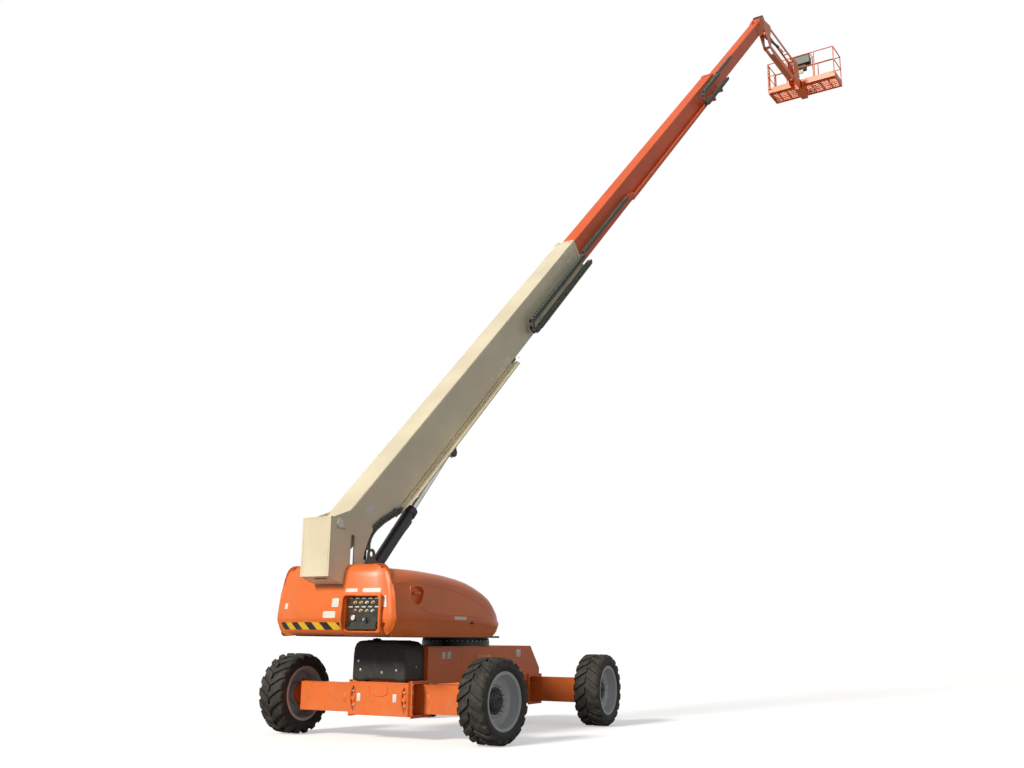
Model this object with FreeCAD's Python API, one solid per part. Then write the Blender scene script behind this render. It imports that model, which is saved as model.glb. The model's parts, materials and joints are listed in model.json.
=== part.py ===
"""Telescopic boom lift: a four-wheel machine with a slewing turntable, a three-section boom,
a parallelogram jib and a work platform.  Millimetres, +Z up, +X towards the front axle, +Y left.
The origin is on the ground, on the slewing axis."""
import FreeCAD, Part
import math
import os
from FreeCAD import Vector as V

# ---------------------------------------------------------------- driving dimensions
FIT = 0.08                     # radial running clearance at pins
SEAT = 0.3                     # gap between pieces that rest on each other
# running gear
WHEELBASE = 3810.0
TRACK = 3365.0                 # wheel centre to wheel centre, axle beams run out
TYRE_R = 577.5
TYRE_W = 445.0
LUG_H = 34.0
LUGS = 16                      # on each side of the tread
RIM_R = 381.0
RIM_SHARE = 0.86               # rim width over tyre width
RIM_WALL = 12.0
HUB_R = 158.0
HUB_SET_BACK = 100.0           # hub face behind the rim's outer flange
BORE_GAP = 6.0                 # axial gap between knuckle flange and wheel
KINGPIN_OFF = 180.0            # kingpin axis inboard of the wheel centre
KINGPIN_R = 32.0
STEER_REST = {"rl": -4.6, "rr": -8.6, "fl": 0.0, "fr": 0.0}
# axles
BEAM_D = 200.0
BEAM_H = 400.0
BEAM_WALL = 12.0
BEAM_GAP = 8.0                 # running gap round an axle beam
BEAM_OVERLAP = 340.0           # length of beam left in the box when run out
AXLE_Z = 560.0
BOX_HALF_W = 530.0
BOX_WALL = 20.0
YOKE_T = 28.0
YOKE_H = 380.0
# chassis
CHASSIS_HALF_L = 1760.0
CHASSIS_HALF_W = 500.0
CHASSIS_Z0 = 750.0
CHASSIS_Z1 = 1280.0
CHASSIS_WALL = 16.0
SLEW_R = 540.0
SLEW_H = 125.0
SLEW_GAP = 0.3
# turntable, in its own frame with the boom along +X
SLEW_REST = -7.0               # degrees, boom heading from the chassis axis
DECK_T = 30.0
DECK_HALF_W = 1040.0
TAIL_R = 3060.0
TAIL_TOP = 2390.0
TAIL_HALF_W = 1062.0
HOOD_HALF_W = 1105.0
HOOD_REAR_X = -2860.0
HOOD_NOSE_X = -250.0
HOOD_TOP = 2335.0
HOOD_WALL = 6.0
HOOD_EDGE_R = 90.0
HINGE_Y = 351.0                # hood hinge line
HINGE_Z = 2327.0
CHANNEL_HALF_W = 360.0         # clear half width of the slot that the boom drops into
SKIRT_Z = 1415.0
RECESS_BACK_X = -2905.0        # back of the ground-control recess in the tail
UPRIGHT_X0 = -3320.0
UPRIGHT_FOOT_X = -2960.0
UPRIGHT_TOP = 3020.0
UPRIGHT_HALF_W = 262.0
PLATE_T = 25.0
# boom, in its own frame: +X along the boom, +Z up from the pivot pin
PIVOT_X = -3150.0
PIVOT_Z = 2930.0
PIVOT_R = 55.0
BOOM_REST = 44.1               # degrees above level
BOOM_DROP = 368.0              # base centre line under the pivot pin
BASE_W = 395.0
BASE_H = 654.0
BASE_WALL = 10.0
NOTCH_A = 1240.0               # end of the curve cut under the base's tail
BASE_TAIL = 105.0              # base end behind the pin
BASE_L = 9207.0                # pin to the front of the base
MID_W = 311.0
MID_H = 529.0
MID_WALL = 8.0
MID_RISE = 15.0                # mid centre line above the base centre line
MID_FRONT = BASE_L + 11093.0   # as the mid section stands out of the base
MID_L = 12000.0
FLY_W = 248.0
FLY_H = 393.0
FLY_WALL = 7.0
FLY_RISE = -20.0
FLY_FRONT = MID_FRONT + 5670.0
FLY_L = 10950.0
PAD_GAP = 0.3
PAD_L = 220.0
# energy chains on the right of the boom, in two layers that pass each other
CHAIN_T = 70.0
CHAIN_PITCH = 270.0            # from joint to joint of the links
CHAIN_NOTCH = 15.0
LAYER_IN = (-257.0, -216.0)    # y range of the runs that slide past a section's side
LAYER_OUT = (-322.0, -262.5)   # y range of the loops
BASE_LOOP_A = BASE_L - 2757.0
MID_LOOP_A = MID_FRONT - 1540.0
BAR_REAR = MID_FRONT - 7870.0  # rear end of the push bar on the mid section
BAR_END = MID_FRONT - 1170.0
NOSE_BAR_A = MID_FRONT + 1600.0
BAR_V0, BAR_V1 = -572.0, -488.0
# lift cylinder
LIFT_FOOT_X = -2785.0
LIFT_FOOT_Z = 1580.0
LIFT_ROD_A = 3022.0            # rod pin along the boom from the pivot
LIFT_ROD_V = -930.0
LIFT_BARREL_R = 95.0
LIFT_ROD_R = 55.0
LIFT_BARREL_L = 2330.0
LIFT_PIN_R = 40.0
LIFT_EYE_HALF = LIFT_ROD_R + 20
LIFT_ROD_INSIDE = 925.0        # rod left inside the barrel at rest
# levelling pivot: in the boom frame, and where it stands in the turntable frame at rest
LEVEL_A = FLY_FRONT + 590.0
LEVEL_V = -300.0
BOOM_C = math.cos(math.radians(BOOM_REST))
BOOM_S = math.sin(math.radians(BOOM_REST))
LEVEL_X = PIVOT_X + LEVEL_A * BOOM_C - LEVEL_V * BOOM_S
LEVEL_Z = PIVOT_Z + LEVEL_A * BOOM_S + LEVEL_V * BOOM_C
# jib, in the turntable frame at rest: a parallelogram of two level arms
JIB_LOW_X = LEVEL_X + 718.0
JIB_LOW_Z = LEVEL_Z - 614.0
JIB_UP_X = JIB_LOW_X
JIB_UP_Z = JIB_LOW_Z + 700.0
JIB_L = 2440.0
JIB_ARM_H = 190.0
JIB_LINK_H = 120.0             # height of the upper arm
JIB_ARM_HALF_W = 95.0
JIB_PLATE = 10.0
JIB_PIN_R = 28.0
JIB_CYL_R = 42.0
JIB_CYL_EYE_HALF = 41.0        # half length of the jib cylinder's eyes
JIB_CYL_PIN_R = 22.0
JIB_CYL_L = 1020.0
JIB_ROD_R = 24.0
JIB_ROD_INSIDE = 400.0
ROTATOR_X = JIB_LOW_X + JIB_L + 610.0
# platform
FLOOR_Z = JIB_LOW_Z + 359.0
PLAT_X0 = ROTATOR_X + 425.0
PLAT_D = 914.0
PLAT_W = 2440.0
GRID_RISE = 4.0                # grille bars above the floor frame
RAIL_H = 1130.0
RAIL_R = 19.0
TOE_H = 150.0
GATE_GAP = 8.0


# ---------------------------------------------------------------- helpers
def box(x0, x1, y0, y1, z0, z1):
    return Part.makeBox(x1 - x0, y1 - y0, z1 - z0, V(x0, y0, z0))


def cyl(r, a, b):
    """A round bar from point a to point b."""
    axis = b.sub(a)
    return Part.makeCylinder(r, axis.Length, a, axis)


def tube(r_out, r_in, a, b):
    axis = b.sub(a)
    extra = V(axis).normalize()
    return cyl(r_out, a, b).cut(cyl(r_in, a.sub(extra), b.add(extra)))


def fuse(shapes):
    first, rest = shapes[0], shapes[1:]
    return first.fuse(rest).removeSplitter() if rest else first


def plate_xz(outline, y0, y1):
    """A flat plate from (x, z) corners, between two y planes."""
    pts = [V(x, y0, z) for x, z in outline]
    face = Part.Face(Part.makePolygon(pts + pts[:1]))
    return face.extrude(V(0, y1 - y0, 0))


def plate_xy(outline, z0, z1):
    pts = [V(x, y, z0) for x, y in outline]
    face = Part.Face(Part.makePolygon(pts + pts[:1]))
    return face.extrude(V(0, 0, z1 - z0))


def plate_yz(outline, x0, x1):
    pts = [V(x0, y, z) for y, z in outline]
    face = Part.Face(Part.makePolygon(pts + pts[:1]))
    return face.extrude(V(x1 - x0, 0, 0))


def mirrored(shape):
    return shape.mirror(V(0, 0, 0), V(0, 1, 0))


def turned(shape, centre, degrees, axis=V(0, 0, 1)):
    out = shape.copy()
    out.rotate(centre, axis, degrees)
    return out


def on_turntable(shape):
    """Turntable frame to machine frame."""
    return turned(shape, V(0, 0, 0), SLEW_REST)


def on_boom(shape):
    """Boom frame to machine frame."""
    out = shape.copy()
    out.rotate(V(0, 0, 0), V(0, 1, 0), -BOOM_REST)
    out.translate(V(PIVOT_X, 0, PIVOT_Z))
    return on_turntable(out)


def save(name, shape):
    solids = shape.Solids
    body = solids[0] if len(solids) == 1 else Part.makeCompound(solids)
    body.exportStep("parts/%s.step" % name)


# ---------------------------------------------------------------- wheels
def facet(points):
    """Flat faces over a loop of points: one face if they lie in a plane, else a fan of triangles."""
    p0, p1, p2 = points[:3]
    normal = p1.sub(p0).cross(p2.sub(p0)).normalize()
    if all(abs(p.sub(p0).dot(normal)) < 1e-6 for p in points[3:]):
        return [Part.Face(Part.makePolygon(points + points[:1]))]
    fans = []
    for b, c in zip(points[1:], points[2:]):
        fans.append(Part.Face(Part.makePolygon([p0, b, c, p0])))
    return fans


def tyre():
    """Foam-filled lugged tyre on the Y axis: a closed shell of facets, its bars slanted to both sides."""
    half = TYRE_W / 2
    step = 2 * math.pi / LUGS
    bar = 0.44 * step
    slant = 0.62 * step
    low_r = TYRE_R - LUG_H
    bead_r = (RIM_R - 13) / math.cos(0.28 * step) + 1
    bead_y = RIM_SHARE * half - 10 - SEAT

    def ring(side, i, r, y, shift):
        """The two corners of bar i of one side at radius r and width y."""
        middle = (i + (0 if side > 0 else 0.5)) * step + bar / 2 - shift
        angles = (middle - bar / 2, middle + bar / 2)
        return [V(r * math.sin(a), side * y, -r * math.cos(a)) for a in angles]

    faces = []
    for side in (1, -1):
        for i in range(LUGS):
            rows = []
            for r, y, shift in ((low_r, 0, 0), (TYRE_R, 0, 0), (TYRE_R, 0.93 * half, slant),
                                (low_r, 0.93 * half, slant), (0.86 * TYRE_R, 0.985 * half, slant),
                                (RIM_R + 20, bead_y, slant), (bead_r, bead_y, slant)):
                rows.append((ring(side, i, r, y, shift), ring(side, i + 1, r, y, shift)[0]))
            foot, top, top_out, foot_out, shoulder, flange, bead = rows
            cross = ring(-side, i if side > 0 else i + 1, low_r, 0, 0)
            faces += facet([foot[0][0], top[0][0], top[0][1], foot[0][1]])
            faces += facet([top[0][0], top[0][1], top_out[0][1], top_out[0][0]])
            for end in (0, 1):
                faces += facet([foot[0][end], top[0][end], top_out[0][end], foot_out[0][end]])
                faces += facet([foot_out[0][end], top_out[0][end], shoulder[0][end]])
            faces += facet([top_out[0][0], top_out[0][1], shoulder[0][1], shoulder[0][0]])
            faces += facet([foot_out[0][1], foot[0][1], cross[0]])
            faces += facet([foot_out[0][1], cross[0], foot_out[1]])
            faces += facet([cross[0], cross[1], foot_out[1]])
            faces += facet([cross[1], foot[1], foot_out[1]])
            faces += facet([foot_out[0][1], foot_out[1], shoulder[1], shoulder[0][1]])
            for outer, inner in ((shoulder, flange), (flange, bead)):
                faces += facet([outer[0][0], outer[0][1], inner[0][1], inner[0][0]])
                faces += facet([outer[0][1], outer[1], inner[1], inner[0][1]])
    for i in range(LUGS):
        left0, left1 = ring(1, i, bead_r, bead_y, slant)
        next_left = ring(1, i + 1, bead_r, bead_y, slant)[0]
        last_right = ring(-1, i - 1, bead_r, bead_y, slant)[1]
        right0, right1 = ring(-1, i, bead_r, bead_y, slant)
        for corners in ((left0, left1, last_right), (left1, right0, last_right), (left1, next_left, right0),
                        (next_left, right1, right0)):
            faces += facet(list(corners))
    body = Part.makeSolid(Part.makeShell(faces))
    if not body.isValid():
        sewn = Part.makeShell(faces)
        sewn.sewShape()
        body = Part.makeSolid(sewn)
    if body.Volume < 0:
        body.reverse()
    return body


def rim():
    """Deep-dished rim with its drive housing ring; the outer side faces -Y."""
    half = RIM_SHARE * TYRE_W / 2
    wall = RIM_WALL
    seat = RIM_R - 14
    well = RIM_R - 46
    disc_y = -half + HUB_SET_BACK + 70
    profile = [(RIM_R + 12, -half), (RIM_R + 12, -half + 10), (seat, -half + 10), (well, -half + 90),
               (well, half - 80), (seat, half - 10), (RIM_R + 12, half - 10), (RIM_R + 12, half),
               (seat - wall, half), (well - wall, half - 86), (well - wall, disc_y + 18),
               (HUB_R, disc_y + 18), (HUB_R, disc_y + 120), (HUB_R - 40, disc_y + 120),
               (HUB_R - 40, disc_y), (well - wall - 40, disc_y), (well - wall, disc_y - 40),
               (seat - wall, -half)]
    pts = [V(r, y, 0) for r, y in profile]
    return Part.Face(Part.makePolygon(pts + pts[:1])).revolve(V(0, 0, 0), V(0, 1, 0), 360)


def hub():
    """Planetary drive cover: stepped round housing, face towards -Y."""
    half = RIM_SHARE * TYRE_W / 2
    face_y = -half + HUB_SET_BACK
    disc_y = face_y + 70
    profile = [(0, face_y), (52, face_y), (60, face_y + 12), (HUB_R - 34, face_y + 18),
               (HUB_R - 14, face_y + 40), (HUB_R - 14, disc_y - 8), (HUB_R + 26, disc_y - 8),
               (HUB_R + 26, disc_y), (HUB_R - 40, disc_y), (HUB_R - 40, disc_y + 100), (0, disc_y + 100)]
    pts = [V(r, y, 0) for r, y in profile]
    return Part.Face(Part.makePolygon(pts + pts[:1])).revolve(V(0, 0, 0), V(0, 1, 0), 360)


def knuckle():
    """Steering knuckle on the kingpin, inboard (+Y) of a wheel centre at the origin."""
    half = RIM_SHARE * TYRE_W / 2
    inner = -half + HUB_SET_BACK + 70 + 120 + BORE_GAP
    barrel_h = YOKE_H - 2 * YOKE_T - 4
    barrel = cyl(62, V(0, KINGPIN_OFF, -barrel_h / 2), V(0, KINGPIN_OFF, barrel_h / 2))
    flange = cyl(HUB_R - 8, V(0, inner, 0), V(0, inner + 40, 0))
    spindle = cyl(HUB_R - 40 - FIT, V(0, inner - BORE_GAP - 20 + SEAT, 0), V(0, inner, 0))
    neck = box(-62, 62, inner + 20, KINGPIN_OFF, -120, 120)
    pin = cyl(KINGPIN_R, V(0, KINGPIN_OFF, -YOKE_H / 2 - 12), V(0, KINGPIN_OFF, YOKE_H / 2 + 12))
    arm = box(-128, -40, KINGPIN_OFF - 40, KINGPIN_OFF + 10, -26, 26)
    return fuse([barrel, flange, spindle, neck, pin, arm])


# ---------------------------------------------------------------- axles
def axle_beam(side):
    """One sliding axle beam of the rear axle (left side drawn, side = 1)."""
    x_mid = -side * (BEAM_D / 2 + BEAM_GAP)
    x0 = x_mid - BEAM_D / 2
    x1 = x_mid + BEAM_D / 2
    z0 = AXLE_Z - BEAM_H / 2
    z1 = AXLE_Z + BEAM_H / 2
    kingpin_y = TRACK / 2 - KINGPIN_OFF
    y0 = BOX_HALF_W - BEAM_OVERLAP
    y1 = kingpin_y - 95
    outer = box(x0, x1, y0, y1, z0, z1)
    inner = box(x0 + BEAM_WALL, x1 - BEAM_WALL, y0 - 1, y1 - BEAM_WALL, z0 + BEAM_WALL, z1 - BEAM_WALL)
    body = outer.cut(inner)
    zc = TYRE_R
    web = box(-105, 105, y1 - 20, y1 + 12, zc - YOKE_H / 2, zc + YOKE_H / 2)
    ears = []
    for sign in (1, -1):
        z_out = zc + sign * YOKE_H / 2
        z_in = z_out - sign * YOKE_T
        low, high = min(z_out, z_in), max(z_out, z_in)
        ear = fuse([box(-78, 78, y1 - 10, kingpin_y, low, high),
                    cyl(78, V(0, kingpin_y, low), V(0, kingpin_y, high))])
        ears.append(ear.cut(cyl(KINGPIN_R + FIT, V(0, kingpin_y, low - 1), V(0, kingpin_y, high + 1))))
    return fuse([body, web] + ears)


def axle_box():
    """Rear axle housing: a box open at both ends, with end flanges and two lens-shaped pockets."""
    depth = 2 * BEAM_D + 3 * BEAM_GAP + 8
    hx = depth / 2 + BOX_WALL
    z0 = AXLE_Z - BEAM_H / 2 - BEAM_GAP - BOX_WALL
    z1 = AXLE_Z + BEAM_H / 2 + BEAM_GAP + BOX_WALL
    w = BOX_HALF_W
    outline = [(-hx - 60, -w + 40), (-hx - 60, w - 40), (-hx, w), (hx, w), (hx, -w), (-hx, -w)]
    shell = plate_xy(outline, z0, z1)
    shell = shell.cut(box(-depth / 2, depth / 2, -w - 1, w + 1, z0 + BOX_WALL, z1 - BOX_WALL))
    face_x = -hx - 60
    pockets = []
    pins = []
    for sign in (1, -1):
        y = sign * (w - 105)
        arc_r = 410.0
        half_h = (z1 - z0) / 2 - 55
        sag = arc_r - math.sqrt(arc_r ** 2 - half_h ** 2)
        top = V(face_x, y, AXLE_Z + half_h)
        bottom = V(face_x, y, AXLE_Z - half_h)
        left = Part.Arc(top, V(face_x, y + sag, AXLE_Z), bottom).toShape()
        right = Part.Arc(bottom, V(face_x, y - sag, AXLE_Z), top).toShape()
        pockets.append(Part.Face(Part.Wire([left, right])).extrude(V(30, 0, 0)))
        pins.append(cyl(34, V(face_x + 30, y, AXLE_Z), V(face_x - 4, y, AXLE_Z)))
    shell = shell.cut(Part.makeCompound(pockets))
    flange = []
    for sign in (1, -1):
        y0, y1 = sorted((sign * w, sign * (w - 24)))
        ring = box(-hx - 22, hx + 22, y0, y1, z0 - 22, z1 + 22)
        flange.append(ring.cut(box(-depth / 2, depth / 2, y0 - 1, y1 + 1, z0 + BOX_WALL, z1 - BOX_WALL)))
    pads = []
    z_low, z_high = AXLE_Z - BEAM_H / 2 - BEAM_GAP, AXLE_Z + BEAM_H / 2 + BEAM_GAP
    for sign in (1, -1):
        xm = -sign * (BEAM_D / 2 + BEAM_GAP)
        y0, y1 = sorted((sign * (w - 130), sign * (w - 12)))
        pads.append(box(xm - 60, xm + 60, y0, y1, z_low - 1, z_low + BEAM_GAP - SEAT))
        pads.append(box(xm - 60, xm + 60, y0, y1, z_high - BEAM_GAP + SEAT, z_high + 1))
        side = -sign * (depth / 2)
        x0, x1 = sorted((side, -sign * (BEAM_D + BEAM_GAP + SEAT)))
        pads.append(box(x0, x1, y0, y1, AXLE_Z - 60, AXLE_Z + 60))
    return fuse([shell] + pins + flange + pads)


def build_running_gear():
    rear_axle = axle_box()
    base_tyre = tyre()
    base_rim = rim()
    base_hub = hub()
    base_knuckle = knuckle()
    for end, x in (("r", -WHEELBASE / 2), ("f", WHEELBASE / 2)):
        flip = 0 if end == "r" else 180
        housing = turned(rear_axle, V(0, 0, 0), flip)
        housing.translate(V(x, 0, 0))
        save("axle_box_" + ("rear" if end == "r" else "front"), housing)
        for side, sign in (("l", 1), ("r", -1)):
            # the beam of each side is offset along X so that the two pass each other in the box
            beam = axle_beam(sign)
            if sign < 0:
                beam = mirrored(beam)
            beam.translate(V(x, 0, 0))
            tag = end + side
            save("axle_beam_" + tag, beam)
            centre = V(x, sign * TRACK / 2, TYRE_R)
            kingpin = V(x, sign * (TRACK / 2 - KINGPIN_OFF), 0)
            for name, piece in (("knuckle_", base_knuckle), ("rim_", base_rim),
                                ("hub_", base_hub), ("tyre_", base_tyre)):
                placed = turned(piece, V(0, 0, 0), 180 if sign > 0 else 0)
                placed.translate(centre)
                save(name + tag, turned(placed, kingpin, STEER_REST[tag]))


# ---------------------------------------------------------------- chassis
def housing_half_x():
    return BEAM_D + 1.5 * BEAM_GAP + 4 + BOX_WALL


def shelf_z():
    return AXLE_Z + BEAM_H / 2 + BEAM_GAP + BOX_WALL


def chassis_frame():
    """Welded box frame between the axle housings: a sloped end in front, a low shelf behind."""
    z0, z1, w = CHASSIS_Z0, CHASSIS_Z1, CHASSIS_HALF_W
    axle_x = WHEELBASE / 2
    hx = housing_half_x()
    z_s = shelf_z()
    end_x = axle_x + hx - 20
    rear_x = -CHASSIS_HALF_L + 60
    side = [(rear_x, z1), (CHASSIS_HALF_L, z1), (end_x, z_s + 120), (end_x, z_s),
            (axle_x - hx, z_s), (axle_x - hx, z0 - 60), (axle_x - hx - 260, z0),
            (-axle_x + hx + 260, z0), (-axle_x + hx, z0 - 60),
            (-axle_x + hx, z_s), (-end_x, z_s), (-end_x, z_s + 20), (rear_x, z_s + 20)]
    block = plate_xz(side, -w, w)
    t = CHASSIS_WALL
    hollow = box(-axle_x + hx + t, axle_x - hx - t, -w + t, w - t, z0 - 1, z1 - t)
    front = plate_xz([(axle_x - hx, z_s - 1), (end_x - t, z_s - 1), (end_x - t, z_s + 110),
                      (CHASSIS_HALF_L - 8, z1 - t), (axle_x - hx, z1 - t)], -w + t, w - t)
    hollow = hollow.fuse(front)
    ribs = [box(x - t / 2, x + t / 2, -w, w, z0 + 60, z1) for x in (-700, 700)]
    return fuse([block.cut(hollow)] + ribs)


def axle_cover():
    """Moulded cover on the rear shelf, with rounded shoulders and a scalloped lower lip."""
    x0 = -WHEELBASE / 2 - housing_half_x() - 60 - 12
    x1 = -CHASSIS_HALF_L + 60 - 1
    low = shelf_z() + 20 + SEAT
    top = 1345.0
    w = 478.0
    outline = [(x0, -w + 90), (x0, w - 90), (x0 + 120, w), (x1, w), (x1, -w), (x0 + 120, -w)]
    body = plate_xy(outline, low + 110, top)
    edges = [e for e in body.Edges if abs(e.BoundBox.ZMax - top) < 1 and e.BoundBox.ZLength < 1]
    body = body.makeFillet(60, edges)
    lip = [(-w + 120, low + 115), (w - 120, low + 115), (w - 160, low + 10), (150, low - 15),
           (110, low + 45), (40, low + 55), (-20, low - 15), (-w + 160, low + 10)]
    apron = plate_yz(lip, x0 - 14, x0 + 12)
    skirt = box(x0 + 8, x1, -w + 130, w - 130, low, low + 115)
    return fuse([body, skirt, apron])


def slew_ring():
    z0 = CHASSIS_Z1
    z1 = z0 + SLEW_H
    lower = tube(SLEW_R, SLEW_R - 120, V(0, 0, z0), V(0, 0, z1 - 52))
    upper = tube(SLEW_R - 26, SLEW_R - 120, V(0, 0, z1 - 52), V(0, 0, z1))
    return fuse([lower, upper])


# ---------------------------------------------------------------- turntable
def deck_z():
    return CHASSIS_Z1 + SLEW_H + SLEW_GAP


def turntable_deck():
    """Slewing deck: a plate over the ring with two long side members and cross members."""
    z0 = deck_z()
    z1 = z0 + DECK_T
    outline = [(-2700, -430), (-2700, 430), (-700, 620), (420, 560), (560, 380), (560, -380),
               (420, -560), (-700, -620)]
    plate = plate_xy(outline, z0, z1)
    plate = plate.cut(cyl(SLEW_R - 180, V(0, 0, z0 - 1), V(0, 0, z1 + 1)))
    w = DECK_HALF_W
    wings = [box(-2540, HOOD_NOSE_X - 480, 620 if s > 0 else -w, w if s > 0 else -620, z0, z1)
             for s in (1, -1)]
    rails = []
    for s in (1, -1):
        y = s * 330
        rails.append(box(-2540, 540, y - 12, y + 12, z1 - 1, z1 + 150))
    foot = []
    for s in (1, -1):
        y = s * (LIFT_BARREL_R + 22)
        outline = [(LIFT_FOOT_X - 130, z1), (LIFT_FOOT_X + 150, z1),
                   (LIFT_FOOT_X + 60, LIFT_FOOT_Z + 60), (LIFT_FOOT_X - 60, LIFT_FOOT_Z + 60)]
        foot.append(plate_xz(outline, y - 14, y + 14))
    fill = [box(-2700, -600, 300, 640, z0, z1), box(-2700, -600, -640, -300, z0, z1)]
    rear = box(LIFT_FOOT_X - 140, -2690, -300, 300, z0, z1)
    pin = cyl(LIFT_PIN_R, V(LIFT_FOOT_X, -LIFT_BARREL_R - 45, LIFT_FOOT_Z),
              V(LIFT_FOOT_X, LIFT_BARREL_R + 45, LIFT_FOOT_Z))
    walls = []
    for s in (1, -1):
        y = s * (CHANNEL_HALF_W - 14)
        outline = [(-2540, z1), (-720, z1), (-720, 1960), (-1110, 2150), (-1620, 2240),
                   (-2180, 2275), (-2180, HINGE_Z), (-2540, HINGE_Z)]
        walls.append(plate_xz(outline, y - 5, y + 5))
        for x0, x1 in ((-2530, -2430), (-2320, -2220)):
            y = s * HINGE_Y
            walls.append(cyl(CHANNEL_HALF_W - HINGE_Y - SEAT, V(x0, y, HINGE_Z), V(x1, y, HINGE_Z)))
    return fuse([plate] + wings + rails + foot + fill + walls + [rear, pin])


def upright():
    """Boom tower: two side plates, a back plate and a top rail; the boom turns between the plates."""
    z0 = deck_z() + DECK_T
    x0, x1 = UPRIGHT_X0, -2640.0
    top = UPRIGHT_TOP
    y_out = UPRIGHT_HALF_W
    front = Part.Arc(V(x1, 0, 2300), V(x1 + 60, 0, 2620), V(-2440, 0, top - 130)).toShape()
    nose = Part.Arc(V(-2440, 0, top - 130), V(-2490, 0, top - 30), V(-2600, 0, top)).toShape()
    x2 = UPRIGHT_FOOT_X
    corners = [V(-2600, 0, top), V(x0, 0, top), V(x0, 0, 2205), V(x2, 0, 2090), V(x2, 0, z0),
               V(x1, 0, z0), V(x1, 0, 2300)]
    lines = [Part.LineSegment(a, b).toShape() for a, b in zip(corners, corners[1:])]
    face = Part.Face(Part.Wire([front, nose] + lines))
    slot = fuse([box(-2905, -2815, -1, PLATE_T + 1, 2260, 2760),
                 cyl(45, V(-2860, -1, 2760), V(-2860, PLATE_T + 1, 2760))])
    side = face.extrude(V(0, PLATE_T, 0)).cut(slot)
    bore = cyl(PIVOT_R, V(PIVOT_X, -1, PIVOT_Z), V(PIVOT_X, PLATE_T + 1, PIVOT_Z))
    side = side.cut(bore)
    left = side.copy()
    left.translate(V(0, y_out - PLATE_T, 0))
    right = side.copy()
    right.translate(V(0, -y_out, 0))
    back = plate_xz([(x0, top), (x0 + 14, top), (x0 + 14, 2213), (x2 + 14, 2098), (x2 + 14, z0),
                     (x2, z0), (x2, 2090), (x0, 2205)], -y_out, y_out)
    slit = box(x0 + 60, x0 + 110, -170, 60, 2100, 2230)
    pin = cyl(PIVOT_R, V(PIVOT_X, -y_out - 14, PIVOT_Z), V(PIVOT_X, y_out + 14, PIVOT_Z))
    caps = [cyl(PIVOT_R + 16, V(PIVOT_X, s * y_out, PIVOT_Z), V(PIVOT_X, s * (y_out + 12), PIVOT_Z))
            for s in (1, -1)]
    return fuse([left, right, back.cut(slit), pin] + caps)


def counterweight():
    """Cast tail: turned about the slewing axis behind, widest at the skirt, notched for the tower."""
    r, z0, z1 = TAIL_R, SKIRT_Z + 5, TAIL_TOP
    profile = [(r - 900, z0), (r - 90, z0), (r - 8, z0 + 70), (r + 30, 1640), (r - 10, 1985),
               (r - 60, z1 - 40), (r - 110, z1), (r - 900, z1)]
    pts = [V(-x, 0, z) for x, z in profile]
    turned_tail = Part.Face(Part.makePolygon(pts + pts[:1])).revolve(V(0, 0, 0), V(0, 0, 1), 60)
    turned_tail.rotate(V(0, 0, 0), V(0, 0, 1), -30)
    w = TAIL_HALF_W
    half = [(0, z0), (w - 110, z0), (w - 30, z0 + 60), (w + 52, 1640), (w + 3, 1985), (w - 110, z1 - 30),
            (w - 190, z1), (0, z1)]
    outline = half + [(-y, z) for y, z in reversed(half[1:-1])]
    front_x = HOOD_REAR_X - 7
    outer = turned_tail.common(plate_yz(outline, -4000, front_x))
    inner = [box(front_x - 1, -2430, s * 400 if s > 0 else -980, 980 if s > 0 else -400,
                 deck_z() + DECK_T + 0.3, 2200) for s in (1, -1)]
    body = fuse([outer] + inner)
    y_t = UPRIGHT_HALF_W + 6
    notch = box(-4000, 0, -y_t, y_t, 2110, 3000)
    pocket = box(UPRIGHT_FOOT_X - 4, 0, -y_t, y_t, 0, 3000)
    ramp = plate_xz([(UPRIGHT_X0 - 6, 2199), (UPRIGHT_FOOT_X - 4, 2084), (UPRIGHT_FOOT_X, 2400),
                     (UPRIGHT_X0, 2400)], -y_t, y_t)
    deck = box(-2946, -2560, -700, 700, 0, deck_z() + DECK_T + 0.3)
    return body.cut(notch).cut(pocket).cut(ramp).cut(deck).cut(control_recess(0))


def control_recess(gap):
    """Rounded recess for the ground controls in the right half of the tail, shrunk by a gap."""
    y0, y1 = -900.0 + gap, -300.0 - gap
    z0, z1 = 1478.0 + gap, 1955.0 - gap
    block = box(-3300, RECESS_BACK_X + gap, y0, y1, z0, z1)
    edges = [e for e in block.Edges if e.BoundBox.XLength > 100]
    return block.makeFillet(60, edges)


def control_panel():
    """Ground control board at the back of the recess, with its knobs and one ball-topped lever."""
    x = RECESS_BACK_X
    board = box(x - 40, x - SEAT, -870, -330, 1505, 1930)
    shelf = plate_xz([(x - 40, 1505), (x - 40, 1600), (x - 90, 1520), (x - 90, 1505)], -860, -340)
    knobs = []
    for row in range(2):
        for col in range(4):
            y = -760 + col * 105
            z = 1860 - row * 110
            knobs.append(cyl(15, V(x - 38, y, z), V(x - 62, y, z)))
    lever = cyl(9, V(x - 38, -640, 1660), V(x - 92, -650, 1640))
    ball = cyl(20, V(x - 86, -649, 1642), V(x - 118, -656, 1630))
    return fuse([board, shelf, fuse([lever, ball])] + knobs)


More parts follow.
